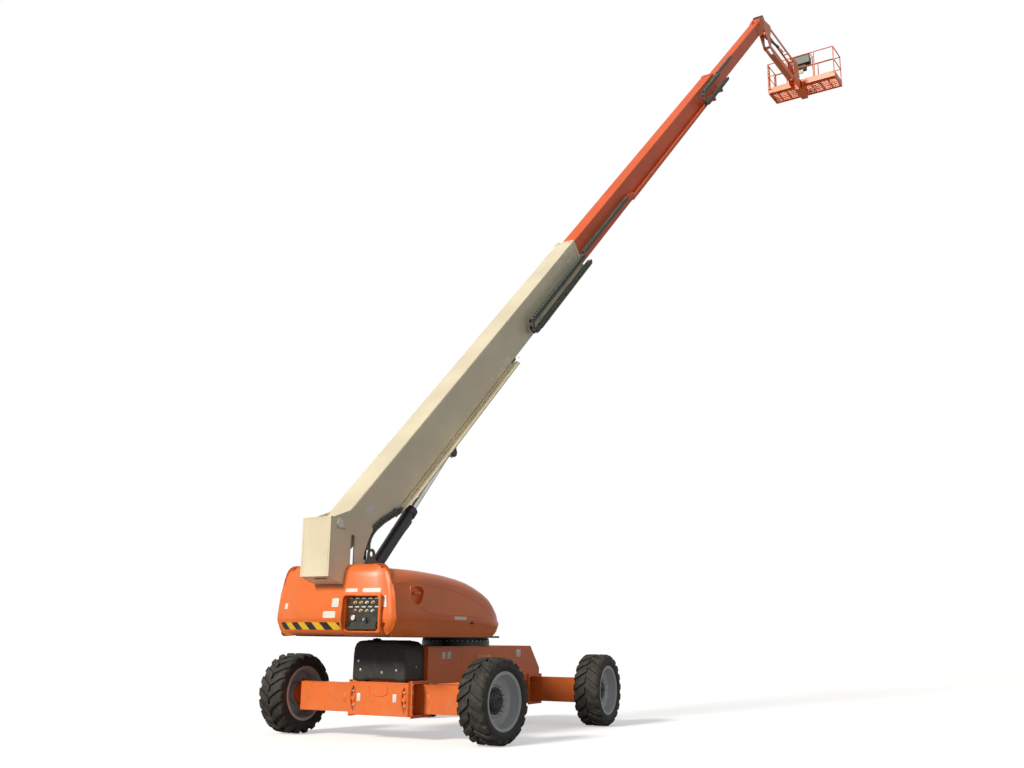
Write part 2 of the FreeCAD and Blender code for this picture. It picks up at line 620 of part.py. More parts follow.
def hood_wire(y, inset, rear_x, low):
    """Side outline of a hood at one width: level top falling in one curve to a rounded nose."""
    nose, top = HOOD_NOSE_X, HOOD_TOP
    points = [V(HOOD_REAR_X, y, top), V(nose - 1950, y, top - 12), V(nose - 1370, y, top - 48),
              V(nose - 860, y, top - 118), V(nose - 335, y, top - 268), V(nose - 80, y, top - 455),
              V(nose, y, top - 630), V(nose - 45, y, SKIRT_Z + 145), V(nose - 180, y, SKIRT_Z + 28)]
    curve = Part.BSplineCurve()
    curve.interpolate(points)
    if inset:
        moved = []
        for p in points:
            t = curve.tangent(curve.parameter(p))[0]
            moved.append(V(p.x - t.z * -inset, y, p.z + t.x * -inset))
        points = moved
        curve = Part.BSplineCurve()
        curve.interpolate(points)
    first, last = points[0], points[-1]
    step = V(nose - 460, y, SKIRT_Z + 28 + inset)
    corners = [last, step, V(nose - 460, y, low), V(rear_x, y, low), V(rear_x, y, first.z), first]
    lines = [Part.LineSegment(a, b).toShape() for a, b in zip(corners, corners[1:])]
    return Part.Wire([curve.toShape()] + lines)


def hood_solid(inset, y0, y1, radius, rear_x, low):
    """Hood block lofted through side outlines, so that its outer edge rolls over in flat bands."""
    wires = [hood_wire(y0, inset, rear_x, low)]
    for turn in (0, 30, 60, 90):
        angle = math.radians(turn)
        y = y1 - radius * (1 - math.sin(angle))
        wires.append(hood_wire(y, inset + radius * (1 - math.cos(angle)), rear_x, low))
    return Part.makeLoft(wires, True, True)


def hood():
    """Left side cover: outer wall, top and nose in one skin, open below, inboard and behind."""
    wall = HOOD_WALL
    rear = HOOD_REAR_X - 1
    outer = hood_solid(0, CHANNEL_HALF_W, HOOD_HALF_W, HOOD_EDGE_R, rear, SKIRT_Z)
    inner = hood_solid(wall, CHANNEL_HALF_W - 1, HOOD_HALF_W - wall, HOOD_EDGE_R - wall, rear - 10,
                       SKIRT_Z - 10)
    grip = plate_xz([(-2560, 2090), (-2300, 2110), (-2260, 2060), (-2330, 1850), (-2400, 1830),
                     (-2470, 1860)], HOOD_HALF_W - 2, HOOD_HALF_W + 5)
    return fuse([outer.cut(inner), grip])


def engine_block():
    z0 = deck_z() + DECK_T
    return box(-2300, -1350, 480, 900, z0 + 0.3, z0 + 440)


def lifting_lugs():
    """Pair of plate lugs beside the tower, each with a see-through eye."""
    z_low = deck_z() + DECK_T
    lugs = []
    for s in (1, -1):
        y = s * (UPRIGHT_HALF_W + 30)
        outline = [(-2620, z_low), (-2250, z_low), (-2250, 2340), (-2420, 2500), (-2420, 2560),
                   (-2560, 2560), (-2580, 2400), (-2620, 2300)]
        plate = plate_xz(outline, y - 12, y + 12)
        ring = cyl(76, V(-2486, y - 12, 2556), V(-2486, y + 12, 2556))
        hole = cyl(40, V(-2486, y - 20, 2556), V(-2486, y + 20, 2556))
        lugs.append(fuse([plate, ring]).cut(hole))
    return Part.makeCompound(lugs)


def build_turntable():
    save("turntable_deck", on_turntable(turntable_deck()))
    save("boom_tower", on_turntable(upright()))
    save("counterweight", on_turntable(counterweight()))
    save("ground_controls", on_turntable(control_panel()))
    save("engine_block", on_turntable(engine_block()))
    save("lifting_lugs", on_turntable(lifting_lugs()))
    left = hood()
    save("hood_left", on_turntable(left))
    save("hood_right", on_turntable(mirrored(left)))


# ---------------------------------------------------------------- boom sections
def section(a0, a1, width, height, wall, v_mid, corner=18):
    """Hollow boom section with rounded corners, open at both ends."""
    def bar(w, h, r, start, stop):
        block = box(start, stop, -w / 2, w / 2, v_mid - h / 2, v_mid + h / 2)
        edges = [e for e in block.Edges if e.BoundBox.XLength > 10]
        return block.makeFillet(r, edges)
    outer = bar(width, height, corner, a0, a1)
    inner = bar(width - 2 * wall, height - 2 * wall, corner - wall, a0 - 1, a1 + 1)
    return outer.cut(inner)


def pads(a0, a1, w_in, h_in, v_in, w_out, h_out, v_out):
    """Slide pads in the corners between an inner section and the one round it."""
    blocks = []
    half_in, half_out = w_in / 2, w_out / 2 - PAD_GAP
    for s in (1, -1):
        y0, y1 = sorted((s * half_in, s * half_out))
        for v in (v_in + h_in / 2 - 90, v_in - h_in / 2 + 20):
            blocks.append(box(a0, a1, y0, y1, v, v + 70))
        y0, y1 = sorted((s * (half_in - 70), s * (half_in - 20)))
        blocks.append(box(a0, a1, y0, y1, v_in + h_in / 2, v_out + h_out / 2 - PAD_GAP))
        blocks.append(box(a0, a1, y0, y1, v_out - h_out / 2 + PAD_GAP, v_in - h_in / 2))
    return blocks


def boom_base():
    """Base section: hollow box, tail cut away in a curve under the pin, pin boss and cylinder lugs."""
    v_mid = -BOOM_DROP
    tube_body = section(-BASE_TAIL, BASE_L, BASE_W, BASE_H, BASE_WALL, v_mid)
    low = v_mid - BASE_H / 2
    arc = Part.Arc(V(NOTCH_A, 0, low - 1), V(420, 0, low + 190), V(-BASE_TAIL - 1, 0, low + 235)).toShape()
    l1 = Part.LineSegment(V(-BASE_TAIL - 1, 0, low + 235), V(-BASE_TAIL - 1, 0, low - 1)).toShape()
    l2 = Part.LineSegment(V(-BASE_TAIL - 1, 0, low - 1), V(NOTCH_A, 0, low - 1)).toShape()
    notch = Part.Face(Part.Wire([arc, l1, l2]))
    notch.translate(V(0, -BASE_W, 0))
    tube_body = tube_body.cut(notch.extrude(V(0, 2 * BASE_W, 0)))
    half = BASE_W / 2
    ears = []
    for s in (1, -1):
        y0, y1 = sorted((s * (half - 30), s * half))
        ear = plate_xz([(-BASE_TAIL, -75), (-BASE_TAIL, 20), (-60, 90), (60, 90), (420, -75)], y0, y1)
        ears.append(ear)
    boss = cyl(PIVOT_R + 30, V(0, -half, 0), V(0, half, 0))
    bore = cyl(PIVOT_R + FIT, V(0, -half - 1, 0), V(0, half + 1, 0))
    collar = section(BASE_L - 90, BASE_L, BASE_W + 24, BASE_H + 24, BASE_WALL + 12, v_mid, 24)
    brackets = []
    for s in (1, -1):
        y = s * (LIFT_ROD_R + 38)
        brackets.append(plate_xz([(LIFT_ROD_A - 270, low + 1), (LIFT_ROD_A + 330, low + 1),
                                  (LIFT_ROD_A + 75, LIFT_ROD_V - 60), (LIFT_ROD_A - 75, LIFT_ROD_V - 60)],
                                 y - 12, y + 12))
    stubs = []
    for s in (1, -1):
        y = s * (LIFT_ROD_R + 38)
        near, far = V(LIFT_ROD_A, y, LIFT_ROD_V), V(LIFT_ROD_A, y + s * 30, LIFT_ROD_V)
        stubs.append(cyl(LIFT_PIN_R + 14, near, far))
    slots = []
    for a0, a1, y in ((NOTCH_A - 60, LIFT_ROD_A - 500, LIFT_ROD_R + 7),
                      (LIFT_ROD_A - 520, LIFT_ROD_A - 275, 113),
                      (LIFT_ROD_A - 280, LIFT_ROD_A + 420, LIFT_ROD_R + 25)):
        slots.append(box(a0, a1, -y, y, low - 1, low + BASE_WALL + 1))
    window = fuse(slots)
    tray = box(1250, 5450, -half - 12, -half + 90, low - 95, low)
    tray = tray.cut(box(1249, 5451, -half - 4, -half + 82, low - 87, low - 6))
    mouth = pads(BASE_L - PAD_L, BASE_L, MID_W + 2 * PAD_GAP, MID_H + 2 * PAD_GAP, v_mid + MID_RISE,
                 BASE_W - 2 * BASE_WALL + 2 * PAD_GAP + 2, BASE_H - 2 * BASE_WALL + 2 * PAD_GAP + 2, v_mid)
    body = fuse([tube_body, boss, collar, tray] + ears + brackets + stubs + mouth)
    return body.cut(bore).cut(window)


def boom_mid():
    """Mid section with its side hose tray, front collar, sheave cover and rear slide pads."""
    v_mid = -BOOM_DROP + MID_RISE
    a0 = MID_FRONT - MID_L
    body = section(a0, MID_FRONT, MID_W, MID_H, MID_WALL, v_mid)
    collar = section(MID_FRONT - 150, MID_FRONT, MID_W + 20, MID_H + 20, MID_WALL + 10, v_mid, 22)
    half = MID_W / 2
    low = v_mid - MID_H / 2
    y0, y1 = LAYER_IN
    bar_z0, bar_z1 = BAR_V0, BAR_V1
    tray = box(BAR_REAR, BAR_END, y0, y1, bar_z0, bar_z1)
    tray = tray.cut(box(BAR_REAR - 1, BAR_END + 1, y0 + 6, y1 + 1, bar_z0 + 6, bar_z1 - 6))
    tabs = []
    for back in (1950, 610, 100):
        a = BAR_END - back
        tabs.append(box(a, a + 90, y0 + 2, -half + 1, bar_z0 + 10, bar_z1 - 10))
    hump = MID_FRONT - 6360
    outline = [(hump, low + 1), (hump + 260, low - 56), (hump + 760, low - 56), (hump + 1000, low + 1)]
    rib = plate_xz(outline, -40, 40)
    lug = box(hump + 1100, hump + 1200, -30, 30, low - 50, low + 1)
    rear = pads(a0, a0 + PAD_L, MID_W - 2, MID_H - 2, v_mid,
                BASE_W - 2 * BASE_WALL, BASE_H - 2 * BASE_WALL, -BOOM_DROP)
    mouth = pads(MID_FRONT - PAD_L, MID_FRONT, FLY_W + 2 * PAD_GAP, FLY_H + 2 * PAD_GAP,
                 -BOOM_DROP + FLY_RISE, MID_W - 2 * MID_WALL + 2 * PAD_GAP + 2,
                 MID_H - 2 * MID_WALL + 2 * PAD_GAP + 2, v_mid)
    return fuse([body, collar, tray, rib, lug] + tabs + rear + mouth)


def boom_fly():
    """Fly section with rear slide pads and a raised rail along its top edge."""
    v_mid = -BOOM_DROP + FLY_RISE
    a0 = FLY_FRONT - FLY_L
    body = section(a0, FLY_FRONT, FLY_W, FLY_H, FLY_WALL, v_mid, 16)
    rear = pads(a0, a0 + PAD_L, FLY_W - 2, FLY_H - 2, v_mid,
                MID_W - 2 * MID_WALL, MID_H - 2 * MID_WALL, -BOOM_DROP + MID_RISE)
    return fuse([body] + rear)


def fly_nose():
    """Nose weldment: two cheeks from the fly's end to the levelling pin, with the end cap and tab."""
    half = FLY_W / 2
    v_mid = -BOOM_DROP + FLY_RISE
    top = v_mid + FLY_H / 2
    low = v_mid - FLY_H / 2
    cheeks = []
    for s in (1, -1):
        y0, y1 = sorted((s * half, s * (half + 14)))
        outline = [(FLY_FRONT - 370, top - 40), (FLY_FRONT + 300, top + 10), (LEVEL_A + 130, LEVEL_V + 190),
                   (LEVEL_A + 170, LEVEL_V), (LEVEL_A + 60, LEVEL_V - 160), (FLY_FRONT - 60, low - 60),
                   (FLY_FRONT - 370, low + 40)]
        cheeks.append(plate_xz(outline, y0, y1))
    cap = plate_xz([(FLY_FRONT + 1, top - 60), (FLY_FRONT + 300, top - 20), (LEVEL_A + 110, LEVEL_V + 190),
                    (LEVEL_A + 90, LEVEL_V + 150), (FLY_FRONT + 250, top - 70), (FLY_FRONT + 1, top - 110)],
                   -half, half)
    tab = box(FLY_FRONT + 20, FLY_FRONT + 130, -14, 14, top - 50, top + 90)
    pin = cyl(35, V(LEVEL_A, -half - 26, LEVEL_V), V(LEVEL_A, half + 26, LEVEL_V))
    return fuse(cheeks + [cap, tab, pin])


# ---------------------------------------------------------------- energy chains
def chain_links(a0, a1, v, height, y0, y1):
    """Straight run of an energy chain: a bar notched on both edges at every joint between links."""
    count = max(1, int(round((a1 - a0) / CHAIN_PITCH)))
    step = (a1 - a0) / count
    top = [(a0, v + height / 2)]
    for i in range(1, count):
        a = a0 + i * step
        top += [(a - CHAIN_NOTCH, v + height / 2), (a, v + height / 2 - CHAIN_NOTCH),
                (a + CHAIN_NOTCH, v + height / 2)]
    top.append((a1, v + height / 2))
    low = [(a, 2 * v - z) for a, z in reversed(top)]
    return plate_xz(top + low, y0, y1)


def chain_loop(a, v_low, v_high, height, y0, y1):
    """Half-round return of the chain, bulging towards the rear."""
    mid = (v_low + v_high) / 2
    r = (v_high - v_low) / 2
    ring = tube(r + height / 2, r - height / 2, V(a, y0, mid), V(a, y1, mid))
    return ring.cut(box(a, a + 2 * r + height, y0 - 1, y1 + 1, v_low - height, v_high + height))


def base_chain():
    """Chain on the base side: lower run, return loop and upper run, with its carriers and end plate,
    and the short chain that follows the curve under the pin."""
    y0, y1 = LAYER_OUT
    v_low, v_high = -600.0, -385.0
    half = BASE_W / 2
    run = chain_links(BASE_LOOP_A, BASE_L + 120, v_low, CHAIN_T, y0, y1)
    back = chain_links(BASE_LOOP_A, BASE_L - 60, v_high, CHAIN_T, y0, y1)
    loop = chain_loop(BASE_LOOP_A, v_low, v_high, CHAIN_T, y0, y1)
    under = v_low - CHAIN_T / 2
    plate = box(BASE_L - 60, BASE_L - 20, y0, -half - 12, under - 12, under + 2)
    carriers = []
    for a in (BASE_LOOP_A + 450, BASE_LOOP_A + 1750):
        carriers.append(box(a, a + 60, y0, -half, under - 12, under + 2))
    return fuse([run, back, loop, plate] + carriers)


def pivot_chain():
    """Short chain hung along the curve at the foot of the base."""
    low = -BOOM_DROP - BASE_H / 2
    points = [(300, low + 150), (520, low + 100), (760, low + 50), (1010, low + 2), (1240, low - 30)]
    links = []
    for (a0, v0), (a1, v1) in zip(points, points[1:]):
        tilt = math.degrees(math.atan2(v1 - v0, a1 - a0))
        length = math.hypot(a1 - a0, v1 - v0)
        link = box(0, length, -229, -203, -38, 32)
        link.rotate(V(0, 0, 0), V(0, 1, 0), -tilt)
        link.translate(V(a0, 0, v0))
        links.append(link)
    foot = box(1080, 1160, -206, -BASE_W / 2, low + 40, low + 80)
    foot = fuse([foot, box(1080, 1160, -206, -204, low - 10, low + 80)])
    links[-1] = links[-1].cut(box(1249, 1300, -BASE_W / 2 - 13, 0, low - 100, low + 60))
    return fuse(links + [foot])


def mid_chain():
    """Chains on the mid section: the run from the base loop to the push bar, and the upper loop."""
    y0, y1 = LAYER_IN
    half = MID_W / 2
    first = chain_links(BASE_L + 120, BAR_REAR - 290, -385.0, CHAIN_T, y0, y1)
    plate = box(BAR_REAR - 330, BAR_REAR + 110, y0, y0 + 8, BAR_V1 + 0.3, -352.0)
    y0, y1 = LAYER_OUT
    v_low, v_high = -490.0, -150.0
    low_run = chain_links(MID_LOOP_A, MID_FRONT + 600, v_low, CHAIN_T, y0, y1)
    high_run = chain_links(MID_LOOP_A, MID_FRONT - 60, v_high, CHAIN_T, y0, y1)
    loop = chain_loop(MID_LOOP_A, v_low, v_high, CHAIN_T, y0, y1)
    under = v_low - CHAIN_T / 2
    arms = [box(a, a + 60, y0, -half, under - 100, under + 2) for a in (MID_FRONT - 1000, MID_FRONT - 240)]
    return Part.makeCompound([fuse([first, plate]), fuse([low_run, high_run, loop] + arms)])


def fly_chain():
    """Upper run of the second chain and the push bar that ties it to the nose."""
    y0, y1 = LAYER_IN
    half = FLY_W / 2
    run = chain_links(MID_FRONT + 120, NOSE_BAR_A + 50, -150.0, CHAIN_T, y0, y1)
    bar = box(NOSE_BAR_A, FLY_FRONT - 130, y0 + 4, y1 - 4, -166, -134)
    foot = box(FLY_FRONT - 230, FLY_FRONT - 130, y1 - 10, -half - 14, -262, -134)
    return fuse([run, bar, foot])


# ---------------------------------------------------------------- cylinders
def lift_geometry():
    foot = V(LIFT_FOOT_X, 0, LIFT_FOOT_Z)
    c, s = math.cos(math.radians(BOOM_REST)), math.sin(math.radians(BOOM_REST))
    eye = V(PIVOT_X + LIFT_ROD_A * c - LIFT_ROD_V * s, 0, PIVOT_Z + LIFT_ROD_A * s + LIFT_ROD_V * c)
    return foot, eye


def cylinder_pair(foot, eye, barrel_r, rod_r, barrel_l, pin_r, eye_half, rod_inside, eye_r):
    """Barrel and rod of a hydraulic cylinder between two pins in an XZ plane."""
    axis = eye.sub(foot).normalize()
    side = V(0, eye_half, 0)
    edge = V(0, 1, 0)
    head = foot.add(V(axis).multiply(barrel_l))
    tail = foot.add(V(axis).multiply(pin_r + 20))
    gland = foot.add(V(axis).multiply(barrel_l - 90))
    foot_ring = cyl(pin_r + 34, foot.sub(side), foot.add(side))
    barrel = fuse([cyl(barrel_r, tail, head), cyl(barrel_r + 8, gland, head), foot_ring])
    bottom = foot.add(V(axis).multiply(pin_r + 60))
    barrel = barrel.cut(cyl(rod_r + FIT, bottom, head.add(axis)))
    barrel = barrel.cut(cyl(pin_r + FIT, foot.sub(side).sub(edge), foot.add(side).add(edge)))
    rod_start = head.sub(V(axis).multiply(rod_inside))
    rod = fuse([cyl(rod_r, rod_start, eye), cyl(eye_r, eye.sub(side), eye.add(side))])
    return barrel, rod


# ---------------------------------------------------------------- jib
def jib_head():
    """Levelled frame between the nose and the jib: carries both arm pins and the cylinder foot."""
    lx, lz = LEVEL_X, LEVEL_Z
    inner = FLY_W / 2 - 12
    plates = []
    for sign in (1, -1):
        y0, y1 = sorted((sign * (inner - 14), sign * inner))
        outline = [(lx - 60, lz - 60), (lx - 60, lz + 60), (JIB_UP_X - 75, JIB_UP_Z + 90),
                   (JIB_UP_X + 75, JIB_UP_Z + 90), (JIB_UP_X + 75, JIB_UP_Z - 60),
                   (JIB_UP_X + 20, JIB_UP_Z - 260),
                   (JIB_LOW_X + 20, JIB_LOW_Z + 220), (JIB_LOW_X + 80, JIB_LOW_Z + 60),
                   (JIB_LOW_X + 80, JIB_LOW_Z - 80), (JIB_LOW_X - 80, JIB_LOW_Z - 80)]
        plates.append(plate_xz(outline, y0, y1))
    boss = cyl(60, V(lx, -inner, lz), V(lx, inner, lz))
    pins = []
    for x, z in ((JIB_LOW_X, JIB_LOW_Z), (JIB_UP_X, JIB_UP_Z)):
        pins.append(cyl(JIB_PIN_R, V(x, -inner, z), V(x, inner, z)))
    foot = jib_cyl_foot()
    y = JIB_CYL_R + 16
    pins.append(cyl(JIB_CYL_PIN_R, V(foot.x, -y, foot.z), V(foot.x, y, foot.z)))
    web_x = JIB_UP_X - 190
    plates.append(box(web_x - 14, web_x, -inner, inner, foot.z - 90, foot.z + 90))
    for sign in (1, -1):
        y0, y1 = sorted((sign * (JIB_CYL_R + 2), sign * (JIB_CYL_R + 16)))
        nose = cyl(JIB_CYL_PIN_R + 22, V(foot.x, y0, foot.z), V(foot.x, y1, foot.z))
        r = JIB_CYL_PIN_R + 22
        stem = plate_xz([(web_x - 4, foot.z - 80), (web_x - 4, foot.z + 80), (foot.x, foot.z + r),
                         (foot.x, foot.z - r)], y0, y1)
        plates += [nose, stem]
    bore = cyl(35 + FIT, V(lx, -inner - 1, lz), V(lx, inner + 1, lz))
    return fuse(plates + [boss] + pins).cut(bore)


def jib_cyl_foot():
    return V(JIB_UP_X + 80, 0, JIB_UP_Z - 300)


def jib_cyl_eye():
    return V(JIB_UP_X + 1600, 0, JIB_UP_Z - 20)


def jib_arm(x, z, height, eye=None):
    """Arm of two side plates tied by round spacers, bored for its two pins."""
    half = JIB_ARM_HALF_W
    plates = []
    h = height / 2
    for sign in (1, -1):
        y0, y1 = sorted((sign * (half - JIB_PLATE), sign * half))
        outline = [(x - 45, z - 45), (x - 45, z + 45), (x + 160, z + h), (x + JIB_L - 160, z + h),
                   (x + JIB_L + 45, z + 45), (x + JIB_L + 45, z - 45), (x + JIB_L - 160, z - h),
                   (x + 160, z - h)]
        plates.append(plate_xz(outline, y0, y1))
    ties = [cyl(42, V(a, -half, z), V(a, half, z)) for a in (x, x + JIB_L)]
    bores = [cyl(JIB_PIN_R + FIT, V(a, -half - 1, z), V(a, half + 1, z)) for a in (x, x + JIB_L)]
    extra = []
    if eye:
        for sign in (1, -1):
            y0, y1 = sorted((sign * (half - JIB_PLATE), sign * (half + 6)))
            extra.append(cyl(46, V(eye.x, y0, eye.z), V(eye.x, y1, eye.z)))
        extra.append(box(x + JIB_L - 500, x + JIB_L - 440, -half, half, z + h - 10, z + h))
    else:
        extra.append(box(x + 330, x + JIB_L - 330, -half, half, z - h, z - h + 12))
    arm = fuse(plates + ties + extra)
    for bore in bores:
        arm = arm.cut(bore)
    return arm


def jib_end():
    """Upright at the jib's end: two plates with both pins and the rotator's vertical housing."""
    x_low, x_up = JIB_LOW_X + JIB_L, JIB_UP_X + JIB_L
    inner = JIB_ARM_HALF_W + 6
    plates = []
    for sign in (1, -1):
        y0, y1 = sorted((sign * inner, sign * (inner + 10)))
        outline = [(x_low - 70, JIB_LOW_Z - 80), (x_low - 60, JIB_LOW_Z + 120), (x_up - 90, JIB_UP_Z - 60),
                   (x_up - 60, JIB_UP_Z + 110), (ROTATOR_X - 150, JIB_UP_Z + 110),
                   (ROTATOR_X - 150, JIB_LOW_Z - 160),
                   (x_low + 60, JIB_LOW_Z - 160)]
        plates.append(plate_xz(outline, y0, y1))
    pins = []
    for x, z in ((x_low, JIB_LOW_Z), (x_up, JIB_UP_Z)):
        pins.append(cyl(JIB_PIN_R, V(x, -inner - 26, z), V(x, inner + 26, z)))
    web = box(ROTATOR_X - 160, ROTATOR_X - 148, -inner - 10, inner + 10, JIB_LOW_Z - 160, JIB_UP_Z + 60)
    housing = tube(95, 50 + FIT, V(ROTATOR_X, 0, JIB_LOW_Z - 40), V(ROTATOR_X, 0, JIB_LOW_Z + 240))
    neck = box(ROTATOR_X - 150, ROTATOR_X - 75, -60, 60, JIB_LOW_Z - 20, JIB_LOW_Z + 220)
    web = fuse([web, neck])
    return fuse(plates + pins + [web, housing])


def rotator_arm():
    """Platform support on the rotator: two arms, an upright channel and a strut under the floor."""
    z0, z1 = JIB_LOW_Z - 40, JIB_LOW_Z + 240
    spindle = cyl(50, V(ROTATOR_X, 0, z0 - 30), V(ROTATOR_X, 0, z1 + 30))
    low = fuse([box(ROTATOR_X, PLAT_X0 + 420, -110, 110, z0 - 26, z0 - 10),
                cyl(110, V(ROTATOR_X, 0, z0 - 26), V(ROTATOR_X, 0, z0 - 10))])
    high = fuse([cyl(110, V(ROTATOR_X, 0, z1 + 10), V(ROTATOR_X, 0, z1 + 26)),
                 box(ROTATOR_X, PLAT_X0 - 70, -110, 110, z1 + 10, z1 + 26)])
    post = box(ROTATOR_X + 200, PLAT_X0 - 70, -110, 110, z0 - 26, z1 + 26)
    post = post.cut(box(ROTATOR_X + 190, PLAT_X0 - 82, -98, 98, z0 - 10, z1 + 10))
    struts = []
    for s in (1, -1):
        y0, y1 = sorted((s * 98, s * 110))
        outline = [(PLAT_X0 - 90, z0 - 20), (PLAT_X0 + 420, z0 - 20), (PLAT_X0 + 420, FLOOR_Z - 60),
                   (PLAT_X0 + 120, FLOOR_Z - 60), (PLAT_X0 - 72, z0 + 200)]
        struts.append(plate_xz(outline, y0, y1))
    pad = box(PLAT_X0 + 120, PLAT_X0 + 420, -110, 110, FLOOR_Z - 70, FLOOR_Z - 60 - SEAT)
    return fuse([spindle, low, high, post, pad] + struts)


# ---------------------------------------------------------------- platform
def platform_floor():
    """Floor: a frame of edge tubes and cross bearers with an open grille of bars on top."""
    x0, x1 = PLAT_X0, PLAT_X0 + PLAT_D
    w = PLAT_W / 2
    t = 40.0
    z0, z1 = FLOOR_Z - 60, FLOOR_Z
    frame = box(x0, x1, -w, w, z0, z1).cut(box(x0 + t, x1 - t, -w + t, w - t, z0 - 1, z1 + 1))
    pieces = [frame]
    for i in range(1, 8):
        y = -w + i * PLAT_W / 8
        pieces.append(box(x0 + 10, x1 - 10, y - 18, y + 18, z0, z1 - 16))
    bars = 7
    for i in range(1, bars):
        x = x0 + i * PLAT_D / bars
        pieces.append(box(x - 10, x + 10, -w + t - 2, w - t + 2, z1 - 20, z1 - 1))
        pieces.append(box(x - 10, x + 10, -w + t + 2, w - t - 2, z1 - 2, z1 + GRID_RISE))
    return fuse(pieces)


def rail_path(points, r):
    """Straight rails from point to point; posts close the corners."""
    return [cyl(r, a, b) for a, b in zip(points, points[1:])]


def platform_rails():
    """Guard rails: posts, top and mid rails on four sides with a gate opening on the left end."""
    r = RAIL_R
    x0, x1 = PLAT_X0 + r, PLAT_X0 + PLAT_D - r
    w = PLAT_W / 2 - r
    z0, z1 = FLOOR_Z, FLOOR_Z + RAIL_H - r
    zm = FLOOR_Z + 0.55 * RAIL_H
    parts = []
    gate0, gate1 = x0 + 130, x1 - 130
    loop = [V(gate1, w, z1), V(x1, w, z1), V(x1, -w, z1), V(x0, -w, z1), V(x0, w, z1), V(gate0, w, z1)]
    parts += rail_path(loop, r)
    middle = [V(p.x, p.y, zm) for p in loop]
    parts += rail_path(middle, r * 0.85)
    for x, y in ((x1, w), (x1, -w), (x0, -w), (x0, w), (x1, 0.33 * w), (x1, -0.33 * w), (x0, 0.42 * w),
                 (x0, -0.42 * w), (gate0, w), (gate1, w)):
        parts.append(cyl(r, V(x, y, z0), V(x, y, z1 + r * 0.6)))
    toe = [box(PLAT_X0, PLAT_X0 + 6, -PLAT_W / 2, PLAT_W / 2, z0, z0 + TOE_H),
           box(PLAT_X0 + PLAT_D - 6, PLAT_X0 + PLAT_D, -PLAT_W / 2, PLAT_W / 2, z0, z0 + TOE_H),
           box(PLAT_X0, PLAT_X0 + PLAT_D, -PLAT_W / 2, -PLAT_W / 2 + 6, z0, z0 + TOE_H)]
    return fuse(parts + toe)


def rail_frames():
    """The guard rails as two welded frames that meet just ahead of the gate's rear post."""
    whole = platform_rails()
    split = PLAT_X0 + 2 * RAIL_R + 130 + 12
    z0, z1 = FLOOR_Z - 100, FLOOR_Z + RAIL_H + 100
    near = box(PLAT_X0 - 100, split, -PLAT_W, PLAT_W, z0, z1)
    far = box(split, PLAT_X0 + PLAT_D + 100, -PLAT_W, PLAT_W, z0, z1)
    return whole.common(near), whole.common(far)


def gate():
    """Swing gate in the left end, hung on the front gate post."""
    r = RAIL_R * 0.85
    w = PLAT_W / 2 - RAIL_R
    x0 = PLAT_X0 + RAIL_R + 130 + RAIL_R + GATE_GAP + r
    x1 = PLAT_X0 + PLAT_D - RAIL_R - 130 - RAIL_R - 0.3 - r
    z0 = FLOOR_Z + 12 + r
    z1 = FLOOR_Z + RAIL_H - RAIL_R
    zm = FLOOR_Z + 0.55 * RAIL_H
    loop = [V(x0, w, z0), V(x0, w, z1), V(x1, w, z1), V(x1, w, z0), V(x0, w, z0)]
    bars = rail_path(loop, r) + [cyl(r * 0.8, V(x0, w, zm), V(x1, w, zm))]
    board = box(x0, x1, w - 3, w + 3, z0, z0 + TOE_H)
    return fuse(bars + [board])


def console():
    """Platform control box with its hood, on the near rail in the middle."""
    x = PLAT_X0
    z = FLOOR_Z + RAIL_H
    x0 = x + 2 * RAIL_R + SEAT
    outline = [(x0, z - 330), (x + 300, z - 330), (x + 330, z - 160), (x + 200, z - 40), (x0, z - 5)]
    body = plate_xz(outline, -330, 330)
    body = body.cut(box(x + 50, x + 292, -322, 322, z - 331, z - 100))
    lever = [cyl(11, V(x + 230, y, z - 70), V(x + 250, y, z + 20)) for y in (-210, 0, 210)]
    return fuse([body] + lever)


def build_boom():
    save("boom_base", on_boom(boom_base()))
    save("boom_mid", on_boom(boom_mid()))
    save("boom_fly", on_boom(boom_fly()))
    save("boom_nose", on_boom(fly_nose()))
    save("base_chain", on_boom(base_chain()))
    save("pivot_chain", on_boom(pivot_chain()))
    save("mid_chain", on_boom(mid_chain()))
    save("fly_chain", on_boom(fly_chain()))
    foot, eye = lift_geometry()
    barrel, rod = cylinder_pair(foot, eye, LIFT_BARREL_R, LIFT_ROD_R, LIFT_BARREL_L, LIFT_PIN_R,
                                LIFT_EYE_HALF, LIFT_ROD_INSIDE, LIFT_ROD_R + 5)
    save("lift_barrel", on_turntable(barrel))
    save("lift_rod", on_turntable(rod))
    save("jib_head", on_turntable(jib_head()))
    save("jib_arm_lower", on_turntable(jib_arm(JIB_LOW_X, JIB_LOW_Z, JIB_ARM_H)))
    save("jib_arm_upper", on_turntable(jib_arm(JIB_UP_X, JIB_UP_Z, JIB_LINK_H, jib_cyl_eye())))
    barrel, rod = cylinder_pair(jib_cyl_foot(), jib_cyl_eye(), JIB_CYL_R, JIB_ROD_R, JIB_CYL_L,
                                JIB_CYL_PIN_R, JIB_CYL_EYE_HALF, JIB_ROD_INSIDE, JIB_ROD_R + 16)
    save("jib_barrel", on_turntable(barrel))
    save("jib_rod", on_turntable(rod))
    save("jib_end", on_turntable(jib_end()))
    save("rotator_arm", on_turntable(rotator_arm()))
    save("platform_floor", on_turntable(platform_floor()))
    near_rails, far_rails = rail_frames()
    save("platform_rails", on_turntable(near_rails))
    save("platform_rails_far", on_turntable(far_rails))
    save("platform_gate", on_turntable(gate()))
    save("platform_console", on_turntable(console()))


def main():
    os.makedirs("parts", exist_ok=True)
    build_running_gear()
    save("chassis_frame", chassis_frame())
    save("axle_cover", axle_cover())
    save("slew_ring", slew_ring())
    build_turntable()
    build_boom()


main()
